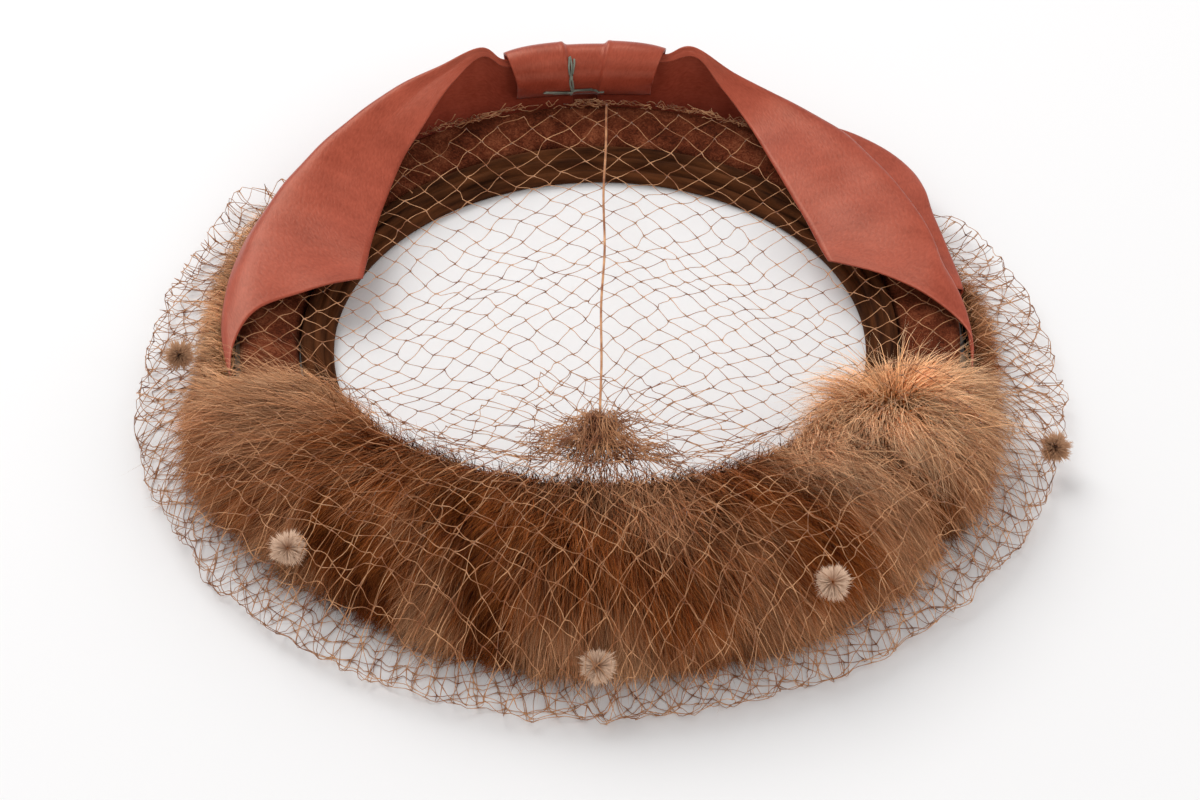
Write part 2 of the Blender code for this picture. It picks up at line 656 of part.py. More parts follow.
def draw_thread(hat):
    """The taut thread from the back of the felt to the gather: a straight six-sided bar."""
    start = np.array([0.0, THREAD_BACK_Y, NET_ON_FELT + THREAD_BACK_LIFT])
    end_y = GATHER_POINT[1] + THREAD_FRONT_GAP
    end_z = float(veil_height(np.array([0.0]), np.array([end_y]))[0]) + THREAD_FRONT_LIFT
    ends = np.array([start, (0.0, end_y, end_z)])
    angles = np.arange(THREAD_SIDES) * 2.0 * np.pi / THREAD_SIDES
    ring = THREAD_RADIUS * np.stack([np.cos(angles), 0.0 * angles, np.sin(angles)], axis=-1)
    points = ends[:, None, :] + ring[None, :, :]
    bm = grid_bmesh(points, round_columns=True, capped=True)
    return add_object("draw_thread", bm, net_material(), hat)


def on_veil(x, y):
    """A place on the net's smooth surface, and the three axes of a piece that lies on it there."""
    step = SLOPE_REACH
    around = np.array([(0.0, 0.0), (step, 0.0), (-step, 0.0), (0.0, step), (0.0, -step)])
    height, east, west, north, south = veil_height(x + around[:, 0], y + around[:, 1])
    up = np.array([west - east, south - north, 2.0 * step])
    up /= np.linalg.norm(up)
    across = np.cross((0.0, 1.0, 0.0), up)
    across /= np.linalg.norm(across)
    axes = np.array([across, np.cross(up, across), up])
    return np.array([x, y, height]), axes


def seated(points, up, carriers):
    """Move a tuft outwards in small steps until it lies a gap clear of what carries it."""
    trees = surface_trees(carriers)
    for away in np.arange(SEAT_START, SEAT_END, SEAT_STEP):
        lowered = grid_bmesh(points + (away - GAP) * up, round_columns=True, capped=True)
        tuft = BVHTree.FromBMesh(lowered)
        lowered.free()
        if not any(tuft.overlap(tree) for tree in trees):
            break
    return grid_bmesh(points + away * up, round_columns=True, capped=True)


def rosette(centre, axes, radius, height, locks, rings, seed):
    """A tuft of pointed locks round a core: a low dome whose rings stand out at every other point."""
    points_round = 2 * locks
    angles = np.arange(points_round) * 2.0 * np.pi / points_round
    uneven = np.random.default_rng(seed).uniform(*UNEVEN_TUFT, (len(rings), points_round))
    lines = []
    for number, ring in enumerate(rings):
        ridge = 1.0 + ring.spike * np.where((np.arange(points_round) + number) % 2, 1.0, -1.0)
        reach = radius * ring.share * ridge * uneven[number]
        level = height * ring.level + 0 * angles
        lines.append(np.stack([reach * np.cos(angles), reach * np.sin(angles), level], axis=-1))
    return np.array(lines) @ axes + centre


def veil_gather(carriers, hat):
    """The bunched net: pleated strands that fan out from the thread's end over the fur."""
    centre, axes = on_veil(*GATHER_POINT)
    points = rosette(centre, axes, GATHER_RADIUS, GATHER_HEIGHT, GATHER_LOCKS, GATHER_RINGS, 5)
    bm = seated(points, axes[2], carriers)
    return add_object("veil_gather", bm, net_material(), hat)


def chenille_dot(number, carriers, hat):
    """A fluffy dot: two layers of pointed locks round a core, on the net."""
    centre, axes = on_veil(*DOT_PLACES[number - 1])
    points = rosette(centre, axes, DOT_RADIUS, DOT_HEIGHT, DOT_LOCKS, DOT_RINGS, 20 + number)
    bm = seated(points, axes[2], carriers)
    return add_object(f"chenille_dot_{number}", bm, dot_material(), hat)


def build_hat():
    """Make every piece, parented to one empty at the hat's bottom centre."""
    clear_scene()
    hat = bpy.data.objects.new("hat", None)
    bpy.context.collection.objects.link(hat)
    felt = felt_ring(hat)
    inner_band(hat)
    fur = fur_roll(hat)
    ribbon("ribbon_left", RIBBON_LEFT, -1.0, hat)
    ribbon("ribbon_right", RIBBON_RIGHT, 1.0, hat)
    satin_knot(hat)
    net = veil_net((felt, fur), hat)
    thread = draw_thread(hat)
    veil_gather((net, fur, thread), hat)
    for number in range(1, len(DOT_PLACES) + 1):
        chenille_dot(number, (net, fur), hat)


build_hat()
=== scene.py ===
"""Dressed model of a ring-shaped hat: felt ring, draped band, deep fur, satin wings and a dotted net veil.

Shapes are worked out in millimetres about the centre of the head opening: +Z up, -Y towards the fur in
front, +Y towards the satin knot at the back. A bearing is the angle round the opening from the front,
positive towards +X; a turn is the angle from the back, the same way on both wings.
"""

import logging
from dataclasses import dataclass
from enum import Enum

import bmesh
import bpy
import numpy as np
from bpy.types import Material, NodeSocket, Object
from bpy.types import bpy_prop_collection as NodeOutputs
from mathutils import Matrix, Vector
from numpy.typing import NDArray


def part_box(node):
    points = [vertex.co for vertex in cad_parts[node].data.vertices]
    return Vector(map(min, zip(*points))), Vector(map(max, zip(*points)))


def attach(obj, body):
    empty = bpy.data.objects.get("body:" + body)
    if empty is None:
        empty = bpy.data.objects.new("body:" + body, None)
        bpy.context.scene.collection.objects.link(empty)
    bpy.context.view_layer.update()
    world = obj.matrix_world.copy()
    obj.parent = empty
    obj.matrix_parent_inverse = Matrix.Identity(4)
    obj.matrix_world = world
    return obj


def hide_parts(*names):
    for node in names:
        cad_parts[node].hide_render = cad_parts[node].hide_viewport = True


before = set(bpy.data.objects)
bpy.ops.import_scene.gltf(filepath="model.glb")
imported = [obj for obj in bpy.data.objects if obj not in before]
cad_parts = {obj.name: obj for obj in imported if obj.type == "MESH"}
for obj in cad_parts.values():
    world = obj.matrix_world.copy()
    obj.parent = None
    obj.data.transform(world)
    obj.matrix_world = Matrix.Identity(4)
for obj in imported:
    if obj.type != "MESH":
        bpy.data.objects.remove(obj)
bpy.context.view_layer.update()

Array = NDArray[np.float64]
Indices = NDArray[np.int64]
Triple = tuple[float, float, float]
Table = tuple[tuple[float, ...], ...]
log = logging.getLogger("hat")

MM = 0.001
OPENING_HALF_WIDTH = 75.0
OPENING_HALF_DEPTH = 73.4
OPENING_CENTRE = np.array([0.0, 16.53, 0.0])
FELT_INNER = 9.8
FELT_OUTER = 26.5
FELT_TOP = 10.3


def blend_rows(rows: Table | Array, at: Array) -> Array:
    """Read a table along a smooth curve.

    Between two rows the value is a cubic that meets both rows with the slope of their neighbours.

    Args:
        rows: one line per knot, its position first and its values after it.
        at: positions to read, in any shape.

    Returns:
        The values, with the shape of at and one more axis for the columns.
    """
    table = np.asarray(rows, dtype=float)
    knots, values = table[:, 0], table[:, 1:]
    slopes = np.gradient(values, knots, axis=0)
    at = np.clip(at, knots[0], knots[-1])
    index = np.clip(np.searchsorted(knots, at, side="right") - 1, 0, len(knots) - 2)
    step = (knots[index + 1] - knots[index])[..., None]
    t = (at - knots[index])[..., None] / step
    eased = t * t * (3.0 - 2.0 * t)
    return (
        values[index] * (1.0 - eased)
        + values[index + 1] * eased
        + slopes[index] * step * t * (1.0 - t) ** 2
        - slopes[index + 1] * step * t * t * (1.0 - t)
    )


def ramp(value: Array, low: float, high: float) -> Array:
    """Smooth step from 0 at low to 1 at high: 3t^2 - 2t^3."""
    t = np.clip((value - low) / (high - low), 0.0, 1.0)
    return t * t * (3.0 - 2.0 * t)


def ripple(points: Array, length: float, seed: int, octaves: int = 3) -> Array:
    """Smooth unevenness: a sum of sine waves in seeded directions, each octave half as long and as high.

    Args:
        points: places (..., 3) in millimetres.
        length: the longest wave, in millimetres.
        seed: picks the directions and phases.
        octaves: how many halvings of the wave.

    Returns:
        Values of about -1 to 1, one for each point.
    """
    rng = np.random.default_rng(seed)
    total = np.zeros(points.shape[:-1])
    for octave in range(octaves):
        ways = rng.normal(size=(6, 3))
        ways /= np.linalg.norm(ways, axis=1, keepdims=True)
        phase = rng.uniform(0.0, 2.0 * np.pi, 6)
        wave = np.sin(points @ ways.T * (2.0 * np.pi * 2.0**octave / length) + phase)
        total += 0.9 * wave.mean(axis=-1) * 0.5**octave
    return total


def unit(vectors: Array) -> Array:
    """Vectors scaled to length 1."""
    return vectors / np.maximum(np.linalg.norm(vectors, axis=-1, keepdims=True), 1e-9)


def opening_radius(bearing: Array) -> Array:
    """Radius of the oval head opening at bearings in degrees: an ellipse in polar form."""
    angle = np.radians(bearing)
    return 1.0 / np.hypot(np.sin(angle) / OPENING_HALF_WIDTH, np.cos(angle) / OPENING_HALF_DEPTH)


def at_bearing(bearing: Array, radius: Array, height: Array) -> Array:
    """Points (..., 3) at a bearing, a radius and a height: x = r sin b, y = -r cos b, z = h."""
    bearing, radius, height = np.broadcast_arrays(bearing, radius, height)
    angle = np.radians(bearing)
    return np.stack([radius * np.sin(angle), -radius * np.cos(angle), height], axis=-1)


def full_turn(count: int) -> Array:
    """Evenly spaced bearings all the way round, as a column."""
    return (np.arange(count) * 360.0 / count)[:, None]


def node_box(node: str) -> Array:
    """Lowest and highest corner of a CAD node, in millimetres about the opening's centre."""
    return np.array([list(corner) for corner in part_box(node)]) / MM - OPENING_CENTRE


def lengths(vectors: Array) -> Array:
    """Length of each vector."""
    return np.linalg.norm(vectors, axis=-1)


def bell(distance: Array, width: float) -> Array:
    """A bell curve: exp of minus the square of distance over width."""
    return np.exp(-((distance / width) ** 2))


def read_columns(rows: Table | Array, at: Array) -> Array:
    """The values of blend_rows, with the columns as the first axis."""
    return np.moveaxis(blend_rows(rows, at), -1, 0)


def seen_from_above(x: Array, y: Array) -> tuple[Array, Array]:
    """Bearing in degrees and radius of places."""
    return np.degrees(np.arctan2(x, -y)), np.hypot(x, y)


def on_table(x: Array, y: Array) -> Array:
    """Points (..., 3) at height 0."""
    return np.stack([x, y, 0.0 * x], axis=-1)


def dress(piece: Object, node: str) -> Object:
    """Hide the CAD node whose place a piece takes.

    Args:
        piece: the object.
        node: the CAD node that it replaces.

    Returns:
        The same piece.
    """
    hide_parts(node)
    return piece


def make_piece(
    name: str,
    points: Array,
    faces: Indices,
    material: Material,
    corner_uv: Array | None = None,
    pile: Array | None = None,
    normals: Array | None = None,
) -> Object:
    """Turn arrays into a smooth-shaded object that rides on the hat.

    Args:
        name: the piece's name.
        points: (N, 3) in millimetres about the opening's centre.
        faces: (F, 3) or (F, 4) indices.
        material: its finish.
        corner_uv: (F, 3 or 4, 2) metres along the cloth, for the map "cut".
        pile: (N, 3) values for the attribute "pile".
        normals: (N, 3) shading normals, or None for the faces' own.

    Returns:
        The new object, at the origin.
    """
    mesh = bpy.data.meshes.new(name)
    placed = (points.reshape(-1, 3) + OPENING_CENTRE) * MM
    mesh.vertices.add(len(placed))
    mesh.vertices.foreach_set("co", placed.ravel())
    mesh.loops.add(faces.size)
    mesh.loops.foreach_set("vertex_index", faces.ravel().astype(np.int32))
    mesh.polygons.add(len(faces))
    mesh.polygons.foreach_set("loop_start", np.arange(0, faces.size, faces.shape[1], dtype=np.int32))
    mesh.update(calc_edges=True)
    mesh.shade_smooth()
    if corner_uv is not None:
        cut = mesh.uv_layers.new(name="cut")
        cut.uv.foreach_set("vector", corner_uv.ravel())
    if pile is not None:
        colours = np.ones((len(placed), 4))
        colours[:, :3] = pile.reshape(-1, 3)
        mesh.color_attributes.new("pile", "FLOAT_COLOR", "POINT").data.foreach_set("color", colours.ravel())
    if normals is not None:
        mesh.normals_split_custom_set_from_vertices(normals.reshape(-1, 3))
    mesh.materials.append(material)
    piece = bpy.data.objects.new(name, mesh)
    bpy.context.collection.objects.link(piece)
    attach(piece, "root")
    return piece


def grid_faces(rows: int, columns: int, round_rows: bool, round_columns: bool) -> tuple[Indices, Indices]:
    """Quads over a grid of points; a round direction joins its last line to its first.

    Args:
        rows: points down the grid.
        columns: points across it.
        round_rows: whether the last row meets the first.
        round_columns: whether the last column meets the first.

    Returns:
        The faces (F, 4), and (F, 4, 2) the grid line of each corner, which goes on past a joined edge.
    """
    i, j = np.meshgrid(
        np.arange(rows if round_rows else rows - 1),
        np.arange(columns if round_columns else columns - 1),
        indexing="ij",
    )
    corners = ((i, j), (i, j + 1), (i + 1, j + 1), (i + 1, j))
    lines = np.stack([np.stack(corner, -1) for corner in corners], axis=2).reshape(-1, 4, 2)
    return (lines[..., 0] % rows) * columns + lines[..., 1] % columns, lines


def surface_piece(
    name: str,
    points: Array,
    material: Material,
    round_rows: bool = False,
    round_columns: bool = False,
    capped: bool = False,
    wall: float = 0.0,
    smooth_levels: int = 0,
) -> Object:
    """A surface over points[row, column], with its cloth map measured along both directions.

    The map's u runs along the rows and v along the columns, as mean distances in metres.

    Args:
        name: the piece's name.
        points: (rows, columns, 3) in millimetres.
        material: its finish.
        round_rows: whether the last row meets the first.
        round_columns: whether the last column meets the first.
        capped: closes the first and last row of round columns with a fan.
        wall: thickness in millimetres, half on each side.
        smooth_levels: levels of subdivision.

    Returns:
        The new object, its faces turned outwards.
    """
    rows, columns = points.shape[:2]
    down = lengths(np.diff(points, axis=0, append=points[:1])).mean(axis=1)
    over = lengths(np.diff(points, axis=1, append=points[:, :1])).mean(axis=0)
    u, v = np.concatenate([[0.0], np.cumsum(down)]), np.concatenate([[0.0], np.cumsum(over)])
    faces, lines = grid_faces(rows, columns, round_rows, round_columns)
    corner_uv = np.stack([u[lines[..., 0]], v[lines[..., 1]]], axis=-1) * MM
    piece = make_piece(name, points, faces, material, corner_uv)
    shell = bmesh.new()
    shell.from_mesh(piece.data)
    if capped:
        bmesh.ops.holes_fill(shell, edges=[e for e in shell.edges if e.is_boundary])
        bmesh.ops.triangulate(shell, faces=[f for f in shell.faces if len(f.verts) > 4])
    bmesh.ops.recalc_face_normals(shell, faces=shell.faces)
    shell.to_mesh(piece.data)
    shell.free()
    piece.data.shade_smooth()
    if smooth_levels:
        rounding = piece.modifiers.new("rounding", "SUBSURF")
        rounding.levels = rounding.render_levels = smooth_levels
    if wall:
        thickness = piece.modifiers.new("wall", "SOLIDIFY")
        thickness.thickness, thickness.offset = wall * MM, 0.0
    return piece


def hairs(
    name: str,
    paths: Array,
    sideways: Array,
    widths: Array,
    material: Material,
    tint: Array,
    shade: Array,
    facing: Array,
) -> Object:
    """Flat tapered hairs: two edges beside each path that meet at its tip.

    Edge points are path +- half width times the sideways vector; the last point of a path is its tip.

    Args:
        name: the piece's name.
        paths: (N, K, 3) points from root to tip.
        sideways: (N, 3) unit vectors across each hair.
        widths: (K - 1,) or (N, K - 1) full widths before the tip.
        material: its finish.
        tint: (N,) how golden a hair is, 0 to 1.
        shade: (N,) how light a hair is, about 1.
        facing: (N, 3) outward normals of the pile, from which the hairs take their soft shading.

    Returns:
        The new object, with the attribute "pile": way along the hair, tint and shade.
    """
    count, steps = paths.shape[:2]
    own = unit(np.cross(sideways, paths[:, 2] - paths[:, 0]))
    turned = np.sign(np.einsum("ni,ni->n", own, facing))[:, None]
    own, sideways = own * turned, sideways * turned
    widths = np.broadcast_to(widths, (count, steps - 1))
    offset = sideways[:, None, :] * widths[..., None] / 2.0
    edges = np.stack([paths[:, :-1] - offset, paths[:, :-1] + offset], axis=2)
    points = np.concatenate([edges.reshape(count, -1, 3), paths[:, -1:]], axis=1)
    low = 2 * np.arange(steps - 2)
    strip = np.concatenate(
        [
            np.stack([low, low + 1, low + 3], axis=-1),
            np.stack([low, low + 3, low + 2], axis=-1),
            [[2 * steps - 4, 2 * steps - 3, 2 * steps - 2]],
        ]
    )
    faces = (strip[None] + (np.arange(count) * (2 * steps - 1))[:, None, None]).reshape(-1, 3)
    along = np.repeat(np.arange(steps) / (steps - 1.0), 2)[:-1]
    pile = np.stack(np.broadcast_arrays(along[None, :], tint[:, None], shade[:, None]), axis=-1)
    soft = unit(0.7 * facing + 0.3 * own)
    normals = np.repeat(soft[:, None], 2 * steps - 1, axis=1)
    return make_piece(name, points, faces, material, pile=pile, normals=normals)


def tubes(name: str, paths: Array, radii: Array, sides: int, material: Material) -> Object:
    """Round threads along paths, closed at both ends.

    Each ring stands across the path: centre + r (cos a * across + sin a * up).

    Args:
        name: the piece's name.
        paths: (N, K, 3) points.
        radii: (K,) or (N, K) radii.
        sides: corners of a ring.
        material: its finish.

    Returns:
        The new object.
    """
    count, steps = paths.shape[:2]
    radii = np.broadcast_to(radii, (count, steps))
    ahead = unit(np.gradient(paths, axis=1))
    across = unit(np.cross(ahead, (0.13, 0.07, 1.0)))
    up = np.cross(across, ahead)
    angle = np.arange(sides) * 2.0 * np.pi / sides
    ring = np.cos(angle)[:, None] * across[:, :, None, :] + np.sin(angle)[:, None] * up[:, :, None, :]
    points = paths[:, :, None, :] + radii[..., None, None] * ring
    quads, _ = grid_faces(steps, sides, False, True)
    skin = np.concatenate([quads[:, [0, 1, 2]], quads[:, [0, 2, 3]]])
    fan = np.arange(1, sides - 1)
    first = np.stack([0 * fan, fan + 1, fan], axis=-1)
    last = np.stack([0 * fan, fan, fan + 1], axis=-1) + (steps - 1) * sides
    one = np.concatenate([skin, first, last])
    faces = (one[None] + (np.arange(count) * steps * sides)[:, None, None]).reshape(-1, 3)
    return make_piece(name, points, faces, material)


def to_linear(colour: str) -> tuple[float, float, float, float]:
    """An sRGB hex colour as linear red, green, blue and alpha."""
    srgb = np.array([int(colour[i : i + 2], 16) for i in (1, 3, 5)]) / 255.0
    linear = np.where(srgb <= 0.04045, srgb / 12.92, ((srgb + 0.055) / 1.055) ** 2.4)
    return (*linear.tolist(), 1.0)


class Fabric:
    """A fabric's material in the making: its shader, and the nodes that feed it."""

    def __init__(
        self, name: str, roughness: float, sheen: float, gloss: float, tints: dict[str, str] | None = None
    ) -> None:
        """Make the shader; its roughness, sheen and specular level are constants.

        Args:
            name: what the real material is and how it was made.
            roughness: of the thread's surface.
            sheen: weight of the light scattered by loose fibre ends.
            gloss: the shader's specular level.
            tints: hex colours for sockets of the shader.
        """
        self.material = bpy.data.materials.new(name)
        self.material.use_nodes = True
        self.shader = self.material.node_tree.nodes["Principled BSDF"]
        values = {"Roughness": roughness, "Sheen Weight": sheen, "Specular IOR Level": gloss}
        for key, value in {**values, "Sheen Roughness": 0.45, "IOR": 1.5, **(tints or {})}.items():
            self.feed(self.shader.inputs[key], value)

    def feed(self, socket: NodeSocket, value: object) -> None:
        """Give an input what feeds it.

        Args:
            socket: the input.
            value: a socket to link, a hex colour or a plain value.
        """
        if isinstance(value, NodeSocket):
            self.material.node_tree.links.new(value, socket)
        else:
            socket.default_value = to_linear(value) if isinstance(value, str) else value

    def add(
        self, kind: str, inputs: dict[str | int, object] | None = None, **settings: object
    ) -> NodeOutputs:
        """Add a shader node.

        Args:
            kind: the node's type, without its prefix.
            inputs: by socket name or number, what feeds it.
            settings: the node's own properties.

        Returns:
            The node's outputs.
        """
        node = self.material.node_tree.nodes.new(f"ShaderNode{kind}")
        for key, value in settings.items():
            setattr(node, key, value)
        for key, value in (inputs or {}).items():
            self.feed(node.inputs[key], value)
        return node.outputs

    def noise(self, vector: NodeSocket, width: float, detail: float, distortion: float = 0.0) -> NodeSocket:
        """Noise over a vector in metres, whose largest patches are about width millimetres wide."""
        inputs = {"Vector": vector, "Scale": 1000.0 / width, "Detail": detail, "Distortion": distortion}
        return self.add("TexNoise", inputs)[0]

    def blend(self, share: float, first: NodeSocket, second: NodeSocket) -> NodeSocket:
        """Two values mixed, with the second one's share."""
        return self.add("Mix", {0: share, 2: first, 3: second})[0]

    def tones(self, by: NodeSocket, *stops: tuple[float, str]) -> NodeSocket:
        """A colour ramp.

        Args:
            by: the value that runs along the ramp.
            stops: positions and hex colours: both ends first, then any stop between them.

        Returns:
            The colour.
        """
        outputs = self.add("ValToRGB", {"Fac": by})
        elements = outputs[0].node.color_ramp.elements
        for number, (position, colour) in enumerate(stops):
            element = elements[number] if number < 2 else elements.new(position)
            element.position, element.color = position, to_linear(colour)
        return outputs[0]

    def pile(self) -> NodeOutputs:
        """The attribute "pile": way along a hair, its tint and its shade."""
        stored = self.add("Attribute", attribute_name="pile")["Color"]
        return self.add("SeparateColor", {"Color": stored})

    def done(
        self, colour: NodeSocket, height: NodeSocket | None = None, strength: float = 0.0, depth: float = 0.0
    ) -> Material:
        """Feed the shader and hand over the material.

        Args:
            colour: feeds the base colour.
            height: feeds the bump, or None for no bump.
            strength: of the bump.
            depth: of the bump, in metres.

        Returns:
            The material.
        """
        self.feed(self.shader.inputs["Base Color"], colour)
        if height is not None:
            bump = self.add("Bump", {"Height": height, "Strength": strength, "Distance": depth})
            self.feed(self.shader.inputs["Normal"], bump[0])
        return self.material


@dataclass(frozen=True)
class NappedFelt:
    """Wool felt, blocked and brushed: a mottled matt brown whose nap scatters light at grazing angles."""

    dark: str = "#301209"
    middle: str = "#642f1c"
    light: str = "#935438"
    nap: str = "#a56a4a"
    mottle_mm: float = 9.0
    fibre_mm: float = 1.1

    def material(self) -> Material:
        """The felt's material: colour from two scales of noise, bump from the fibre."""
        felt = Fabric("wool_felt_napped", 0.95, 0.12, 0.06, {"Sheen Tint": self.nap})
        place = felt.add("TexCoord")["Object"]
        fibre = felt.noise(place, self.fibre_mm, 4.0, 1.5)
        both = felt.blend(0.45, felt.noise(place, self.mottle_mm, 5.0), fibre)
        colour = felt.tones(both, (0.34, self.dark), (0.66, self.light), (0.5, self.middle))
        return felt.done(colour, fibre, strength=0.8, depth=0.0006)


@dataclass(frozen=True)
class DrapedVelvet:
    """Silk velvet, laid in lengthwise folds: dark, with paler streaks along the cloth and a faint sheen."""

    dark: str = "#241006"
    light: str = "#63391f"
    nap: str = "#a5704c"
    streak_mm: float = 2.2
    drawn_out: float = 0.12
    pile_mm: float = 0.7

    def material(self) -> Material:
        """The velvet's material: noise drawn out along the cloth for the colour, fine noise for the pile."""
        velvet = Fabric("silk_velvet_draped", 0.85, 0.1, 0.06, {"Sheen Tint": self.nap})
        cloth = velvet.add("UVMap", uv_map="cut")[0]
        drawn = velvet.add("Mapping", {"Vector": cloth, "Scale": (self.drawn_out, 1.0, 1.0)})[0]
        pile = velvet.noise(velvet.add("TexCoord")["Object"], self.pile_mm, 2.0)
        streak = velvet.noise(drawn, self.streak_mm, 4.0)
        return velvet.done(velvet.tones(streak, (0.3, self.dark), (0.72, self.light)), pile, 0.5, 0.0003)


@dataclass(frozen=True)
class WovenSatin:
    """Acetate satin ribbon: floats on one face give a broad soft gloss, over a fine slanting weave."""

    shadow: str = "#7e2a18"
    light: str = "#b95640"
    glint: str = "#ffc9ad"
    rib_mm: float = 0.5
    rib_slant: float = 1.35
    rib_drawn_out: float = 0.3
    stray_mm: float = 7.0
    cloud_mm: float = 26.0

    def material(self) -> Material:
        """The satin's material: a fine noise drawn out along the slant stands for the ribs."""
        satin = Fabric("acetate_satin_woven", 0.36, 0.0, 0.62, {"Specular Tint": self.glint})
        cloth = satin.add("UVMap", uv_map="cut")[0]
        slanted = satin.add("Mapping", {"Vector": cloth, "Rotation": (0.0, 0.0, self.rib_slant)})[0]
        drawn = satin.add("Mapping", {"Vector": slanted, "Scale": (1.0, self.rib_drawn_out, 1.0)})[0]
        ribs = satin.noise(drawn, self.rib_mm, 1.0, 0.4)
        stray, cloud = satin.noise(cloth, self.stray_mm, 3.0), satin.noise(cloth, self.cloud_mm, 2.0)
        soft = satin.blend(0.5, stray, cloud)
        # Over the soft noise the colour runs from the shadow tone to the lit tone: painted shade and light in
        # soft patches.
        colour = satin.tones(satin.blend(0.3, soft, ribs), (0.25, self.shadow), (0.75, self.light))
        return satin.done(colour, ribs, strength=0.3, depth=0.0002)


@dataclass(frozen=True)
class DyedFur:
    """Long-haired fur, dyed and brushed: dark at the root, golden at the tip, in streaks of tone."""

    plain: tuple[str, str, str] = ("#2b0e04", "#70300f", "#b3642b")
    golden: tuple[str, str, str] = ("#b0723f", "#edb281", "#fbd6ae")

    def material(self) -> Material:
        """The fur's material: two ramps from root to tip, mixed by a hair's tint, scaled by its shade."""
        fur = Fabric("long_fur_brushed", 0.6, 0.0, 0.06)
        along, tint, shade = fur.pile()
        plain, golden = (
            fur.tones(along, (0.05, root), (1.0, tip), (0.55, middle))
            for root, middle, tip in (self.plain, self.golden)
        )
        toned = fur.add("Mix", {0: tint, 6: plain, 7: golden}, data_type="RGBA")[2]
        return fur.done(fur.add("VectorMath", {0: toned, "Scale": shade}, operation="SCALE")[0])


@dataclass(frozen=True)
class SpunThread:
    """Fine thread, for net, cord and stitches: matt, a little uneven in tone."""

    name: str
    dark: str
    light: str
    tone_mm: float = 6.0

    def material(self) -> Material:
        """The thread's material: its tone drifts along the work."""
        thread = Fabric(self.name, 0.6, 0.2, 0.3)
        drift = thread.noise(thread.add("TexCoord")["Object"], self.tone_mm, 3.0)
        return thread.done(thread.tones(drift, (0.35, self.dark), (0.65, self.light)))


@dataclass(frozen=True)
class CutChenille:
    """Cut chenille pile: short soft fibres, paler at their tips."""

    name: str
    root: str
    tip: str

    def material(self) -> Material:
        """The chenille's material: one ramp along each fibre."""
        chenille = Fabric(self.name, 0.85, 0.5, 0.15)
        return chenille.done(chenille.tones(chenille.pile()[0], (0.0, self.root), (0.8, self.tip)))


@dataclass
class FeltRing:
    """The felt body: an inverted U, blocked round the opening."""

    bearings: int = 180
    wall: float = 2.0
    unevenness: float = 0.25

    def build(self) -> Object:
        """Carry the section round the opening: offset and height per corner, plus a slow unevenness."""
        inner, outer, top, wall = FELT_INNER, FELT_OUTER, FELT_TOP, self.wall
        section = [(inner, 0.0), (inner, 3.0), (inner, top - 4.2), (inner + 1.8, top - 2.4)]
        section += [(inner + 5.0, top - 1.4), (outer - 7.0, top - 0.4), (outer - 3.0, top - 0.1)]
        section += [(outer - 1.0, top - 0.5), (outer, top - 2.4), (outer, 3.0), (outer, 0.0)]
        section += [(outer - wall, 0.0), (outer - wall, top - wall - 0.6)]
        section += [(inner + wall + 0.8, top - wall - 2.4), (inner + wall, 0.0)]
        offset, height = np.array(section).T
        bearing = full_turn(self.bearings)
        points = at_bearing(bearing, opening_radius(bearing) + offset, height)
        lifted = ramp(points[..., 2], 0.5, 5.0)
        points[..., 2] += self.unevenness * lifted * ripple(points, 24.0, 3)
        ring = surface_piece("felt_body", points, NappedFelt().material(), True, True, smooth_levels=1)
        return dress(ring, "felt_ring")


@dataclass
class DrapedBand:
    """The velvet band: one strip from the opening's foot over the felt's inner edge, in soft folds."""

    bearings: int = 260
    across: int = 26
    wall: float = 0.9
    wander: float = 0.45
    drift: float = 0.28
    folds: Table = (  # step across, offset, height
        *((0.0, 0.9, 0.6), (0.6, 0.5, 2.4), (1.2, 1.2, 3.9), (1.8, 2.7, 3.6)),
        *((2.3, 3.4, 4.8), (3.0, 4.0, 6.3), (3.7, 5.5, 5.9), (4.3, 6.2, 6.9)),
        *((5.0, 7.2, 7.9), (5.6, 8.3, 7.0), (6.0, 8.9, 5.0)),
    )

    def build(self) -> Object:
        """Read the fold table across the strip and let the folds drift as they go round.

        The drift is a sine of three times the bearing, the sway a seeded ripple; both fade to nothing at
        the strip's two edges by a sine across it.
        """
        bearing = full_turn(self.bearings)
        step = np.linspace(0.0, 6.0, self.across)[None, :]
        round_x, round_y = np.cos(np.radians(bearing)), np.sin(np.radians(bearing))
        drift = self.drift * np.sin(3.0 * np.radians(bearing) + step) * np.sin(np.pi * step / 6.0)
        offset, height = read_columns(self.folds, step + drift)
        place = np.stack(np.broadcast_arrays(70.0 * round_x, 70.0 * round_y, 5.0 * step), axis=-1)
        sway = self.wander * ripple(place, 46.0, 8) * np.sin(np.pi * step / 6.0)
        points = at_bearing(bearing, opening_radius(bearing) + offset, height + sway)
        band = surface_piece("velvet_band", points, DrapedVelvet().material(), True, wall=self.wall)
        dress(band, "inner_band")
        return band


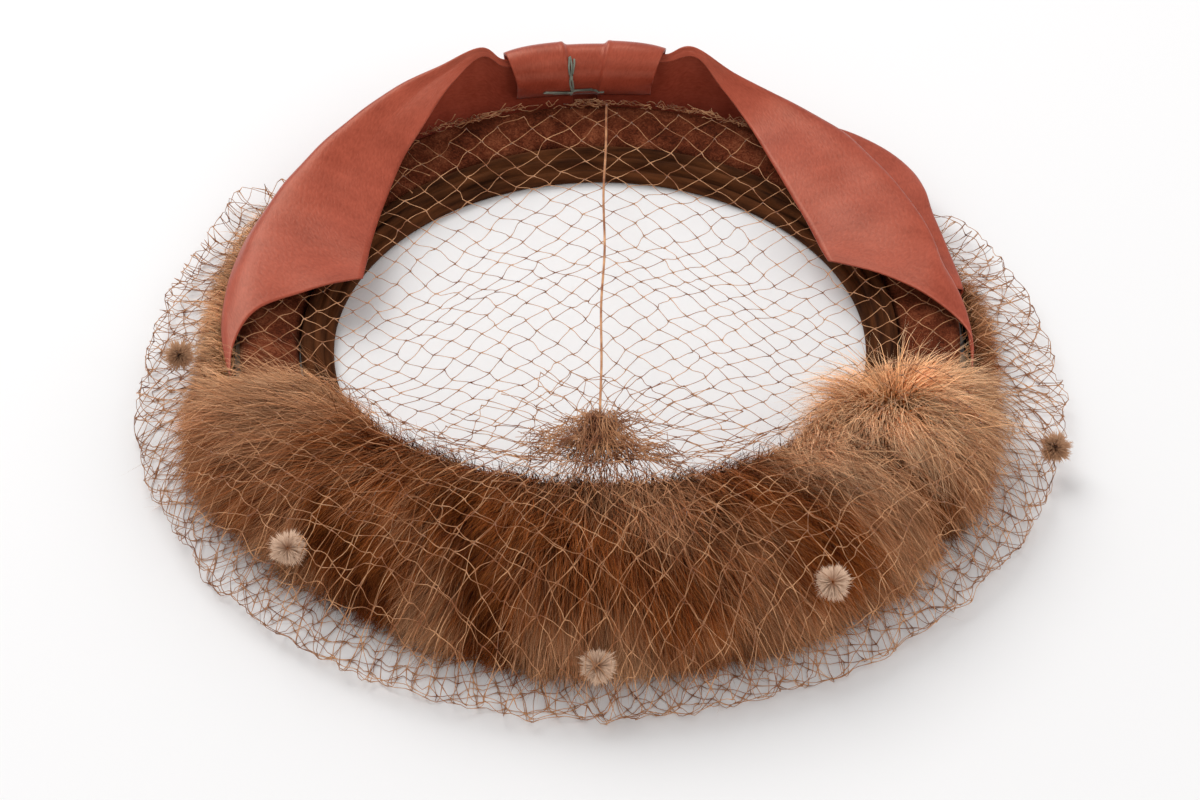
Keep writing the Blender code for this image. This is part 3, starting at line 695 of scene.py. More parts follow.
class FurForm:
    """The roll of fur as a function of bearing and share: its table of sections and its arch."""

    SECTIONS = (  # bearing, inner offset, outer offset, top, lip
        (-127, 27.8, 31, 4.5, 3.0),
        (-119, 27.8, 36, 7.5, 4.5),
        (-102, 27.8, 38, 8.0, 5.0),
        (-84, 27.6, 39, 8.2, 6.5),
        (-75, 27.2, 44, 11.8, 11.2),
        (-69.5, 19, 49, 17.5, 11.8),
        (-65, 8, 51, 23.0, 10.6),
        (-59, 2.5, 51, 28.0, 9.4),
        (-45, 2.0, 50, 31.0, 9.4),
        (-22, 2.0, 54, 35.0, 9.4),
        (0, 2.0, 56, 37.0, 9.4),
        (22, 2.0, 55, 35.5, 9.4),
        (45, 2.0, 50.5, 32.0, 9.4),
        (60, 2.5, 47, 30.0, 9.4),
        (66, 8, 44, 26.5, 10.6),
        (70.5, 19, 42, 19.5, 11.8),
        (75.5, 27.2, 39, 12.0, 11.2),
        (85, 27.6, 37, 8.2, 6.5),
        (98, 27.8, 35, 7.5, 4.5),
        (106, 27.8, 31, 4.5, 3.0),
    )
    FOOT = 3.0
    POWER = 0.72
    HAIR_INSIDE = 2.2
    HAIR_OUTSIDE = 9.0
    HAIR_ON_TOP = 0.26
    ENDS = (SECTIONS[0][0], SECTIONS[-1][0])

    def sections(self, bearing: Array) -> Array:
        """Inner offset, outer offset, top and lip height at bearings, as the first axis."""
        return read_columns(self.SECTIONS, bearing)

    def arch(self, bearing: Array, share: Array) -> Array:
        """Points on the skin: a flattened arch, share 0 at its outer foot and 1 at its inner lip.

        offset = middle + half span * sign(cos a) |cos a|^p, height = base + (top - base) |sin a|^p, where
        a = pi * share. The foot, the lip and the top lie inside the outer form by the depth of the hair.

        Args:
            bearing: in degrees.
            share: 0 to 1 over the arch.

        Returns:
            Points (..., 3) in millimetres about the opening's centre.
        """
        inner, outer, top, lip = self.sections(bearing)
        full = np.clip(top / 20.0, 0.25, 1.0)
        inner, outer = inner + self.HAIR_INSIDE * full, outer - self.HAIR_OUTSIDE * full
        top = top * (1.0 - self.HAIR_ON_TOP)
        angle = np.pi * share
        flat = np.sign(np.cos(angle)) * np.abs(np.cos(angle)) ** self.POWER
        base = self.FOOT + (lip - self.FOOT) * share
        offset = (outer + inner) / 2.0 + (outer - inner) / 2.0 * flat
        height = base + np.maximum(top - base, 0.0) * np.abs(np.sin(angle)) ** self.POWER
        return at_bearing(bearing, opening_radius(bearing) + offset, height)

    def height_under(self, bearing: Array, radius: Array) -> Array:
        """Height of the roll's outer form under points at a bearing and radius, zero beside it."""
        inner, outer, top, lip = self.sections(bearing)
        offset = radius - opening_radius(bearing)
        flat = np.clip((offset - (outer + inner) / 2.0) / ((outer - inner) / 2.0), -1.0, 1.0)
        share = np.arccos(np.sign(flat) * np.abs(flat) ** (1.0 / self.POWER)) / np.pi
        base = self.FOOT + (lip - self.FOOT) * share
        height = base + np.maximum(top - base, 0.0) * np.sin(np.pi * share) ** self.POWER
        among = (bearing > self.ENDS[0]) & (bearing < self.ENDS[1])
        return np.where(among, height, 0.0)


@dataclass
class FurPile:
    """The fur itself: a skin, black as painted shade of the deep pile, under some hundred and thirty thousand
    flat tapered hairs in clumps.
    """

    form: FurForm
    hairs_each: int = 33000
    hair_widths: Triple = (0.21, 0.18, 0.11)
    hair_length: tuple[float, float] = (8.0, 15.0)  # on the low tails, and more where the roll is full
    rise: Triple = (0.78, 0.42, 0.14)  # n_k
    follow: Triple = (0.55, 0.90, 1.0)  # f_k
    droop: Triple = (0.0, 0.08, 0.18)
    loose_share: float = 0.08
    clump_bearing: float = 2.3
    clump_share: float = 0.05
    clump_start: float = -130.0
    ceiling: float = 42.0
    headroom: float = 10.0
    inner_light: Triple = (0.0, -0.7, 0.8)
    right_whorl: Triple = (84.0, -49.0, 26.0)
    right_reach: float = 34.0
    right_crest_highlight: Triple = (60.0, -70.0, 30.0)
    left_whorl: Triple = (-48.0, -60.0, 25.0)
    left_reach: float = 44.0
    whorl_weight: float = 2.2
    whorl_eye: float = 7.0
    crest_share: float = 0.90
    crest_width: float = 0.08
    grooves: Table = (  # x0, y0, x1, y1, half width
        (70.0, -68.0, 96.0, -80.0, 4.5),
        (46.0, -86.0, 48.0, -95.0, 3.0),
        (-66.0, -88.0, -50.0, -104.0, 5.0),
        (-30.0, -92.0, -26.0, -112.0, 6.0),
    )

    def frame_at(self, bearing: Array, share: Array) -> tuple[Array, Array, Array, Array]:
        """The skin at bearings and shares.

        The normal is the cross product of the surface's two slopes, read over small steps.

        Args:
            bearing: in degrees.
            share: 0 at the outer foot to 1 at the inner lip.

        Returns:
            Points, outward normals, unit vectors down the outer side and unit vectors along the bearing.
        """
        point = self.form.arch(bearing, share)
        low, high = np.clip(share - 0.01, 0.0, 1.0), np.clip(share + 0.01, 0.0, 1.0)
        outwards = unit(self.form.arch(bearing, low) - self.form.arch(bearing, high))
        onwards = unit(self.form.arch(bearing + 0.3, share) - self.form.arch(bearing - 0.3, share))
        normal = unit(np.cross(onwards, outwards))
        normal *= np.sign(np.einsum("...i,...i", normal, point - self.core(bearing)))[..., None]
        return point, normal, outwards, onwards

    def core(self, bearing: Array) -> Array:
        """Points low inside the roll, from which every normal points away."""
        inner, outer, top, _ = self.form.sections(bearing)
        return at_bearing(bearing, opening_radius(bearing) + 0.5 * (inner + outer), 0.3 * top)

    def flow(self, bearing: Array, share: Array) -> tuple[Array, Array, Array]:
        """Which way the hair lies: outwards from its crest, and away from a whorl at each end.

        It turns over from the inner side to the outer side by tanh of the share's distance to the crest,
        and along the crest it is combed sideways, away from the front's middle. Each whorl adds the
        direction away from its centre, weighted by a bell curve of the distance; close to the centre the
        weight fades and the hair stands up.

        Args:
            bearing: in degrees.
            share: 0 to 1 over the arch.

        Returns:
            Points, normals and unit flow vectors.
        """
        point, normal, outwards, onwards = self.frame_at(bearing, share)
        turn_over = np.tanh((self.crest_share - share) / self.crest_width)[..., None]
        swirl = 0.30 * np.sin(np.radians(2.2 * bearing)) + 0.35 * ripple(point, 42.0, 19, 2)
        combed = -0.9 * np.tanh(bearing / 12.0)[..., None] * (1.0 - turn_over**2)
        lie = outwards * turn_over + onwards * (swirl[..., None] + combed)
        whorls = ((self.right_whorl, self.right_reach, 1.0), (self.left_whorl, self.left_reach, -1.0))
        for whorl, reach, side in whorls:
            away = point - np.array(whorl)
            distance = lengths(away)
            weight = self.whorl_weight * bell(distance, reach) * ramp(side * bearing, 20.0, 42.0)
            weight = weight * (1.0 - bell(distance, self.whorl_eye))
            standing = np.clip(distance / 12.0, 0.45, 1.0)
            lie = unit(lie + unit(away) * weight[..., None]) * standing[..., None]
        lie[..., 1] = np.minimum(lie[..., 1], 0.15 + 0.85 * ramp(-np.abs(bearing), -56.0, -44.0))
        lie = lie - normal * np.einsum("...i,...i", lie, normal)[..., None]
        return point, normal, lie / np.maximum(lengths(lie)[..., None], 1.0)

    def paths(self, bearing: Array, share: Array, rng: np.random.Generator, loose: Array) -> Array:
        """Centre lines of hairs: each leaves the skin at a slant and bends over into the flow.

        Step k goes in the direction normal * n_k + flow * f_k with n falling and f rising, plus a small
        random lean and a pull downwards; the steps are summed. On the inner side, past a share of about
        0.58, the hair lies flat and short. It is also shorter at the foot, the tails and the partings.

        Args:
            bearing: roots' bearings.
            share: roots' shares.
            rng: source of the random lean.
            loose: 0 to 1, how much a hair stands off.

        Returns:
            (N, 4, 3) points.
        """
        point, normal, lie = self.flow(bearing, share)
        _, _, top, _ = self.form.sections(bearing)
        edge = ramp(share, 0.58, 0.76)[:, None, None]
        loose = loose * (1.0 - edge[:, 0, 0])
        rising = np.array(self.rise)[None, :, None] * (1.0 - 0.88 * edge)
        rising = rising + 0.25 * loose[:, None, None]
        lying = np.array(self.follow)[None, :, None]
        flat = np.clip(lengths(lie), 0.0, 1.0)
        lean = rng.normal(0.0, 0.24, (len(point), 1, 3)) * (1.0 + 1.2 * (1.0 - flat)[:, None, None])
        lean = lean + rng.normal(0.0, 0.13, (len(point), 3, 3))
        upwards = np.einsum("nki,ni->nk", lean, normal)[..., None]
        lean = lean - 0.8 * edge * normal[:, None] * upwards
        down = np.array([0.0, 0.0, -1.0]) * np.array(self.droop)[None, :, None]
        short, more = self.hair_length
        length = (short + more * np.clip(top / 28.0, 0.0, 1.0)) * rng.uniform(0.65, 1.2, len(point))
        lip = 1.0 - 0.52 * ramp(share, 0.62, 0.84)
        foot = 1.0 - rng.uniform(0.05, 0.55, len(point)) * ramp(-share, -0.40, -0.04)
        ends = 1.0 - 0.35 * ramp(np.abs(bearing), 60.0, 72.0)
        parted = 1.0 - 0.45 * self.parting(point)
        laid = 0.55 + 0.45 * flat
        length = length * lip * foot * ends * parted * laid * (1.0 + 0.45 * loose)
        steps = unit(normal[:, None] * rising + lie[:, None] * lying + lean + down)
        steps = steps * (length / 3.0)[:, None, None]
        return np.concatenate([point[:, None], point[:, None] + np.cumsum(steps, axis=1)], axis=1)

    def parting(self, point: Array) -> Array:
        """Nearness to a groove, 1 on it: a bell curve of the distance to each line seen from above."""
        near = np.zeros(point.shape[:-1])
        for x0, y0, x1, y1, wide in self.grooves:
            start, run = np.array([x0, y0]), np.array([x1 - x0, y1 - y0])
            along = np.clip(((point[..., :2] - start) @ run) / (run @ run), 0.0, 1.0)
            gap = lengths(point[..., :2] - start - along[..., None] * run)
            near = np.maximum(near, bell(gap, wide))
        return near

    def tone(self, bearing: Array, share: Array, point: Array, rng: np.random.Generator) -> Array:
        """How golden each hair is, as a sum of parts.

        More at the right whorl, the left end, the tails and the lower fringe; more on the right crest as a
        painted highlight and on the inner side as painted light; less on the front's shoulder, and less in
        the partings as painted shade; with streaks and a little chance.

        Args:
            bearing: roots' bearings.
            share: roots' shares.
            point: roots.
            rng: source of the chance.

        Returns:
            Values from 0 to 1.
        """
        right = 1.2 * bell(lengths(point - np.array(self.right_whorl)), 22.0)
        right = right * (0.3 + 0.7 * ramp(share, 0.22, 0.52))
        left = 0.62 * ramp(-bearing, 40.0, 62.0) * ramp(share, 0.35, 0.72)
        tail = np.where(bearing > 0.0, 0.10, 0.40) * ramp(np.abs(bearing), 72.0, 82.0)
        fringe = 0.16 * ramp(-share, -0.24, -0.02)
        shoulder = -0.14 * bell(share - 0.36, 0.17) * ramp(-np.abs(bearing), -62.0, -25.0)
        # More golden on the inner side: painted light.
        inside_light = 0.42 * ramp(share, 0.64, 0.80)
        # A golden spot on the right crest: painted highlight along the ridge.
        crest = 0.50 * bell(lengths(point - np.array(self.right_crest_highlight)), 17.0)
        streaks = 0.40 * ripple(point, 34.0, 21, 3)
        level = 0.20 + right + left + crest + tail + fringe + shoulder + inside_light + streaks
        # Less golden in the partings: painted shade in the grooves.
        level = level - 0.75 * self.parting(point)
        return np.clip(level + rng.normal(0.0, 0.12, len(point)), 0.0, 1.0)

    def clumped(
        self,
        line: Array,
        roots: tuple[Array, Array],
        loose: Array,
        ends: tuple[float, float],
        rng: np.random.Generator,
    ) -> tuple[Array, tuple[Indices, Indices]]:
        """Pull each hair towards the hair that leads its clump, more so towards its tip.

        Clumps are cells of bearing and share; a leader starts somewhere in its cell.

        Args:
            line: (N, 4, 3) hairs.
            roots: their bearings and shares.
            loose: 0 to 1, how much a hair keeps out of its clump.
            ends: the stretch's first and last bearing.
            rng: source of the leaders and of each clump's hold.

        Returns:
            The hairs pulled together, and the two numbers of each hair's clump.
        """
        across = np.floor((roots[0] - self.clump_start) / self.clump_bearing).astype(int)
        down = np.floor(roots[1] / self.clump_share).astype(int)
        shape = (across.max() + 1, down.max() + 1)
        middle_b = (np.arange(shape[0])[:, None] + rng.uniform(0.0, 1.0, shape)) * self.clump_bearing
        middle_b = np.clip((middle_b + self.clump_start).ravel(), *ends)
        middle_s = (np.arange(shape[1])[None, :] + rng.uniform(0.0, 1.0, shape)) * self.clump_share
        middle_s = np.clip(middle_s.ravel(), 0.0, 1.0)
        leader = self.paths(middle_b, middle_s, rng, np.zeros(middle_b.size)).reshape(*shape, 4, 3)
        hold = rng.uniform(0.1, 0.7, shape)[across, down] * (1.0 - loose)
        draw = hold[:, None, None] * (np.linspace(0.0, 1.0, 4) ** 1.3)[None, :, None]
        return line + (leader[across, down] - line) * draw, (across, down)

    def patch(self, name: str, first: float, last: float, seed: int, material: Material) -> Object:
        """One stretch of fur: roots drawn by area, each hair pulled towards its clump's leader.

        Height over the ceiling is taken up by tanh. Hairs on the inner side take their light from in
        front and above.

        Args:
            name: the piece's name.
            first: bearing where the stretch starts.
            last: bearing where it ends.
            seed: of its random numbers.
            material: its finish.

        Returns:
            The new object.
        """
        rng = np.random.default_rng(seed)
        grid_b = np.linspace(first, last, 181)
        grid_s = np.linspace(0.0, 1.0, 121)
        corner = self.form.arch(grid_b[:, None], grid_s[None, :])
        wide = lengths(corner[1:, :-1] - corner[:-1, :-1])
        deep = lengths(corner[:-1, 1:] - corner[:-1, :-1])
        weight = (wide * deep).ravel()
        cell = rng.choice(len(weight), self.hairs_each, p=weight / weight.sum())
        row, column = np.divmod(cell, len(grid_s) - 1)
        bearing = grid_b[row] + rng.uniform(0.0, 1.0, len(cell)) * (grid_b[1] - grid_b[0])
        share = grid_s[column] + rng.uniform(0.0, 1.0, len(cell)) * (grid_s[1] - grid_s[0])
        loose = (rng.uniform(size=len(cell)) < self.loose_share) * rng.uniform(0.4, 1.0, len(cell))
        line = self.paths(bearing, share, rng, loose)
        line, clump = self.clumped(line, (bearing, share), loose, (first, last), rng)

        line[..., 2] = np.maximum(line[..., 2], rng.uniform(0.25, 1.6, len(cell))[:, None])
        over = np.maximum(line[..., 2] - self.ceiling, 0.0)
        line[..., 2] += self.headroom * np.tanh(over / self.headroom) - over
        point, normal, _ = self.flow(bearing, share)
        roll = rng.normal(0.0, 0.7, len(cell))[:, None]
        heading = unit(line[:, 2] - line[:, 0])
        sideways = unit(np.cross(normal, heading))
        sideways = unit(sideways * np.cos(roll) + np.cross(heading, sideways) * np.sin(roll))
        tint = self.tone(bearing, share, point, rng)
        mottled = rng.normal(size=(clump[0].max() + 1, clump[1].max() + 1))[clump]
        shade = 1.0 + 0.22 * mottled + 0.2 * rng.normal(size=len(cell))
        # Darker in the partings, painted shade in the grooves; lighter on the inner side, painted light.
        shade = shade * (1.0 - 0.45 * self.parting(point)) * (1.0 + 0.25 * ramp(share, 0.66, 0.86))
        turned = ramp(share, 0.55, 0.80)[:, None]
        lit = normal * (1.0 - 0.85 * turned) + np.array(self.inner_light) * (0.2 + 0.8 * turned)
        widths = np.array(self.hair_widths)
        pile = hairs(name, line, sideways, widths, material, tint, np.clip(shade, 0.3, 1.8), unit(lit))
        return dress(pile, "fur_roll")

    def skin(self, material: Material) -> Object:
        """The pelt under the hair: a closed roll that straddles the felt, black as painted shade of the deep
        pile.
        """
        bearing = np.linspace(*self.form.ENDS, 150)[:, None]
        share = np.linspace(0.0, 1.0, 34)[None, :]
        arch = self.form.arch(bearing, share)
        inner, outer, _, lip = self.form.sections(bearing)
        clear = np.maximum(inner + 0.3, FELT_OUTER + 0.6)
        low = np.minimum(lip, FELT_TOP + 0.9)
        foot = np.maximum(outer - 12.0, FELT_OUTER + 2.2)
        corners = ((inner + 1.0, lip + 0.5), (clear, np.maximum(low, 1.0)), (clear, 0.4), (foot, 0.4))
        edge = opening_radius(bearing)
        under = np.concatenate([at_bearing(bearing, edge + offset, z) for offset, z in corners], axis=1)
        under[:, 0, 2] = np.maximum(arch[:, -1, 2] - 0.8, under[:, 1, 2])
        points = np.concatenate([arch, under], axis=1)
        # Without the attribute "pile" the fur's material gives the skin a black colour: painted shade deep in
        # the pile.
        skin = surface_piece("fur_skin_painted_shade", points, material, round_columns=True, capped=True)
        return dress(skin, "fur_roll")

    def build(self) -> list[Object]:
        """The skin and four stretches of hair, each over a quarter of the skin's area."""
        material = DyedFur().material()
        bearing = np.linspace(*self.form.ENDS, 234)
        line = self.form.arch(bearing[:, None], np.linspace(0.0, 1.0, 60)[None, :])
        girth = lengths(np.diff(line, axis=1)).sum(axis=1)
        area = np.cumsum(girth * lengths(np.gradient(line[:, 30], axis=0)))
        cuts = np.interp(np.linspace(area[0], area[-1], 5), area, bearing)
        made = [
            self.patch(f"fur_stretch_{number + 1}", first, last, 5 + number, material)
            for number, (first, last) in enumerate(zip(cuts, cuts[1:]))
        ]
        return [self.skin(material), *made]


# Stations along a wing: turn, radius and z of its base; its belly; turn, radius and z of its fold, and of
# its free edge.
LEFT_WING = (
    (4.5, 103.2, 3, 0.2, 4.5, 103.4, 23.6, 4.5, 101.6, 22.6),
    (12, 103.4, 3, 0.3, 12, 103.8, 25.0, 12, 102.0, 24.2),
    (16, 103.6, 3, 0.4, 16.2, 104.2, 25.5, 16.2, 102.6, 24.7),
    (19.5, 104, 3, 0.5, 19.6, 105.4, 30.4, 19.8, 103.4, 29.4),
    (27, 104.5, 3, 0.2, 27, 104.6, 28.6, 26, 98.5, 26.6),
    (35, 105, 4, 0.0, 35, 104.8, 27.2, 33.5, 91.5, 22.5),
    (45, 106, 7, -0.4, 45, 104.0, 24.2, 42, 86, 17.5),
    (54, 106.8, 11.0, -0.8, 54, 103.0, 21.5, 51, 79.5, 14.6),
    (64, 106.6, 12.4, -0.8, 63.5, 102.6, 18.6, 61, 74, 13.6),
    (77, 106.4, 12.0, -0.6, 74, 101.6, 16.8, 69, 70.8, 13.4),
    (91, 106.2, 11.6, -1.2, 83.5, 99.0, 16.0, 74, 69.6, 13.4),
    (103, 105.0, 11.0, -2.4, 90, 96.6, 15.0, 77, 69.0, 13.4),
)
RIGHT_WING = (
    (-0.5, 103.2, 3, 0.2, -0.5, 103.4, 23.6, -0.5, 101.6, 22.6),
    (8, 103.4, 3, 0.3, 8, 103.8, 25.4, 8, 102.0, 24.6),
    (11, 103.6, 3, 0.4, 11.2, 104.1, 25.8, 11.4, 102.5, 25.0),
    (14.5, 104, 3, 0.5, 15.2, 105, 29.0, 16.2, 102.5, 28.0),
    (24, 105, 3, 1.0, 23, 105.5, 22.5, 21.5, 99, 21.5),
    (34, 106.5, 3, 1.5, 33, 105.8, 18.5, 29, 91.5, 16.8),
    (43, 104.0, 8.5, 0.4, 43, 104.5, 17.4, 37, 82.5, 15.4),
    (54, 101.0, 11.5, 0.2, 53, 101.2, 17.4, 47, 75.5, 14.6),
    (65, 99.2, 12.8, 0.1, 64, 99.3, 17.0, 57, 71.5, 13.8),
    (76, 98.8, 13.0, 0.1, 74, 98.4, 16.6, 64, 69.5, 13.4),
    (90, 102.4, 12.0, -0.8, 81, 94.5, 15.8, 68, 69, 13.4),
    (102, 105.4, 11.0, -2.0, 86, 92.5, 15.0, 70.5, 69, 13.4),
)
RIGHT_UNDER = (
    (35, 105.0, 4, 0.4, 35, 105.2, 14.0, 35, 102.6, 13.6),
    (41, 108.6, 4, 0.5, 41, 109.0, 13.6, 41, 101.5, 13.2),
    (48, 111.2, 5, 0.5, 48, 111.8, 13.0, 48, 99.5, 12.8),
    (54, 111.4, 7, 0.5, 54, 112.0, 12.6, 54, 98.0, 12.6),
    (59, 109.2, 8, 0.3, 59, 109.8, 12.4, 59, 97.0, 12.4),
    (65, 105.6, 9, 0.2, 65, 106.1, 12.2, 65, 96.5, 12.2),
    (73, 103.6, 9.5, 0.1, 73, 104.0, 12.0, 73, 96.5, 12.0),
    (83, 103.0, 9.5, 0.1, 83, 103.4, 11.6, 83, 97.5, 11.8),
)


class Side(Enum):
    """Which wing: its sign on the bearing."""

    LEFT = -1.0
    RIGHT = 1.0


@dataclass
class SatinWing:
    """One ribbon wing: a strip that stands on its base, bulges, folds over and lies to its free edge."""

    side: Side
    stations: Table
    flat: tuple[float, float]
    layer: str = ""
    steps: int = 110
    across: int = 40
    wall: float = 0.4

    def build(self, material: Material) -> Object:
        """Read the stations along the wing, and at each a smooth curve from base to free edge."""
        numbered = np.column_stack([np.arange(len(self.stations)), np.array(self.stations)])
        along = np.linspace(0.0, len(self.stations) - 1.0, self.steps)
        read = blend_rows(numbered, along).T
        base, belly, fold, edge = read[0:3], read[3], read[4:7], read[7:10]
        bulge = (base + fold) / 2.0
        bulge[1] = np.maximum(base[1], fold[1]) + belly
        middle = 0.55 * fold + 0.45 * edge
        middle[2] = 0.5 * (fold[2] + edge[2]) + 0.5
        lines = np.stack([base, bulge, fold, middle, edge])
        fine = np.linspace(0.0, 4.0, self.across)
        table = np.concatenate([np.arange(5.0)[:, None], lines.reshape(5, -1)], axis=1)
        turn, radius, height = np.moveaxis(blend_rows(table, fine).reshape(len(fine), 3, -1), 1, 0)
        points = at_bearing(self.side.value * (180.0 - turn.T), radius.T, height.T)
        free = ramp(fine, 0.4, 1.6)[None, :]
        points[..., 2] += 0.8 * free * ripple(points, 34.0, 31 if self.side is Side.LEFT else 33, 2)
        name = f"satin_wing_{self.side.name.lower()}{self.layer}"
        wing = surface_piece(name, points, material, wall=self.wall)
        dress(wing, f"ribbon_{self.side.name.lower()}")
        return wing


@dataclass
class SatinKnot:
    """The pleated loop over the ribbons' ends, and the thread that shows on it."""

    rows: Table = (  # step, radius, z, left turn, right turn
        (0, 101.6, 12.6, 14.2, 8.6),
        (1, 99.2, 16.6, 14.3, 8.8),
        (2, 97.6, 21.8, 14.6, 9.3),
        (3, 98.8, 26.6, 15.2, 10.0),
        (4, 103.2, 28.9, 15.6, 10.6),
        (5, 107.2, 26.8, 15.6, 10.6),
        (6, 108.8, 20.0, 15.0, 10.0),
        (7, 108.2, 11.0, 14.4, 9.0),
        (8, 106.2, 2.0, 14.2, 8.6),
    )
    middle: tuple[float, float] = (103.0, 17.0)
    puff: float = 0.5
    pleats: tuple[tuple[float, float], ...] = ((-4.7, -6.0), (-0.6, 1.2))  # turn at the foot, turn at the top
    pleat_depth: float = 1.3
    pleat_edge: float = 0.22
    pleat_lip: float = 0.35
    pleat_lip_width: float = 0.5
    wall: float = 0.5

    def surface(self, step: Array, share: Array) -> Array:
        """The loop's skin: the table's line, sunk between two pleats and puffed between its ends.

        Each pleat's edge is a tanh of the turn, with a small raised lip on it in the form of a bell curve.

        Args:
            step: way over the loop, 0 at its front foot to 8 at its back foot.
            share: way across it, 0 to 1.

        Returns:
            Points (..., 3) in millimetres.
        """
        radius, height, left, right = read_columns(self.rows, step)
        turn = -left + (left + right) * share
        up = np.clip(step / 4.0, 0.0, 1.0)
        (low_left, high_left), (low_right, high_right) = self.pleats
        first = low_left + (high_left - low_left) * up
        last = low_right + (high_right - low_right) * up
        sunk = np.tanh((turn - first) / self.pleat_edge) - np.tanh((turn - last) / self.pleat_edge)
        inward = 0.5 * self.pleat_depth * sunk
        for pleat in (first, last):
            inward = inward - self.pleat_lip * bell(turn - pleat, self.pleat_lip_width)
        ends = 1.1 * np.abs(2.0 * share - 1.0) ** 6
        away = unit(np.stack([radius - self.middle[0], height - self.middle[1]], axis=-1))
        dent = (inward + ends) * np.clip((height - 11.0) / 6.0, 0.0, 1.0)
        puff = self.puff * (1.0 - np.abs(2.0 * share - 1.0) ** 2) - 0.8 * dent
        return at_bearing(180.0 - turn, radius + away[..., 0] * puff, height + away[..., 1] * puff)

    def build(self, material: Material) -> Object:
        """The loop as one sheet from its front foot over the top to its back foot."""
        points = self.surface(np.linspace(0.0, 8.0, 44)[:, None], np.linspace(0.0, 1.0, 120)[None, :])
        knot = surface_piece("satin_loop", points, material, wall=self.wall)
        dress(knot, "satin_knot")
        return knot

    def stitches(self) -> Object:
        """Grey-green sewing thread in a cross on the loop's front, in uneven passes just off the satin."""
        rng = np.random.default_rng(41)
        passes = [((3.5, 0.40), (0.25, 0.40)), ((3.3, 0.42), (0.3, 0.405)), ((3.45, 0.385), (0.6, 0.41))]
        passes += [((0.75, 0.20), (0.55, 0.66)), ((0.9, 0.22), (0.62, 0.60)), ((0.6, 0.27), (0.72, 0.55))]
        ends = np.array(passes)
        share = np.linspace(0.0, 1.0, 26)[None, :, None]
        run = ends[:, None, 0] + (ends[:, None, 1] - ends[:, None, 0]) * share
        run = run + rng.normal(0.0, 1.0, (len(ends), 1, 2)) * np.array([0.04, 0.004])
        paths = self.surface(run[..., 0], run[..., 1])
        paths[..., 1] -= 0.75 + 0.25 * np.sin(np.pi * share[..., 0])
        paths[..., 0] += 0.35 * np.sin(9.0 * share[..., 0] + np.arange(len(ends))[:, None])
        paths[..., 2] += 0.25
        thread = SpunThread("cotton_thread_grey_green", "#55594d", "#8f9384").material()
        piece = tubes("loop_stitches", paths, np.full(26, 0.3), 5, thread)
        return piece


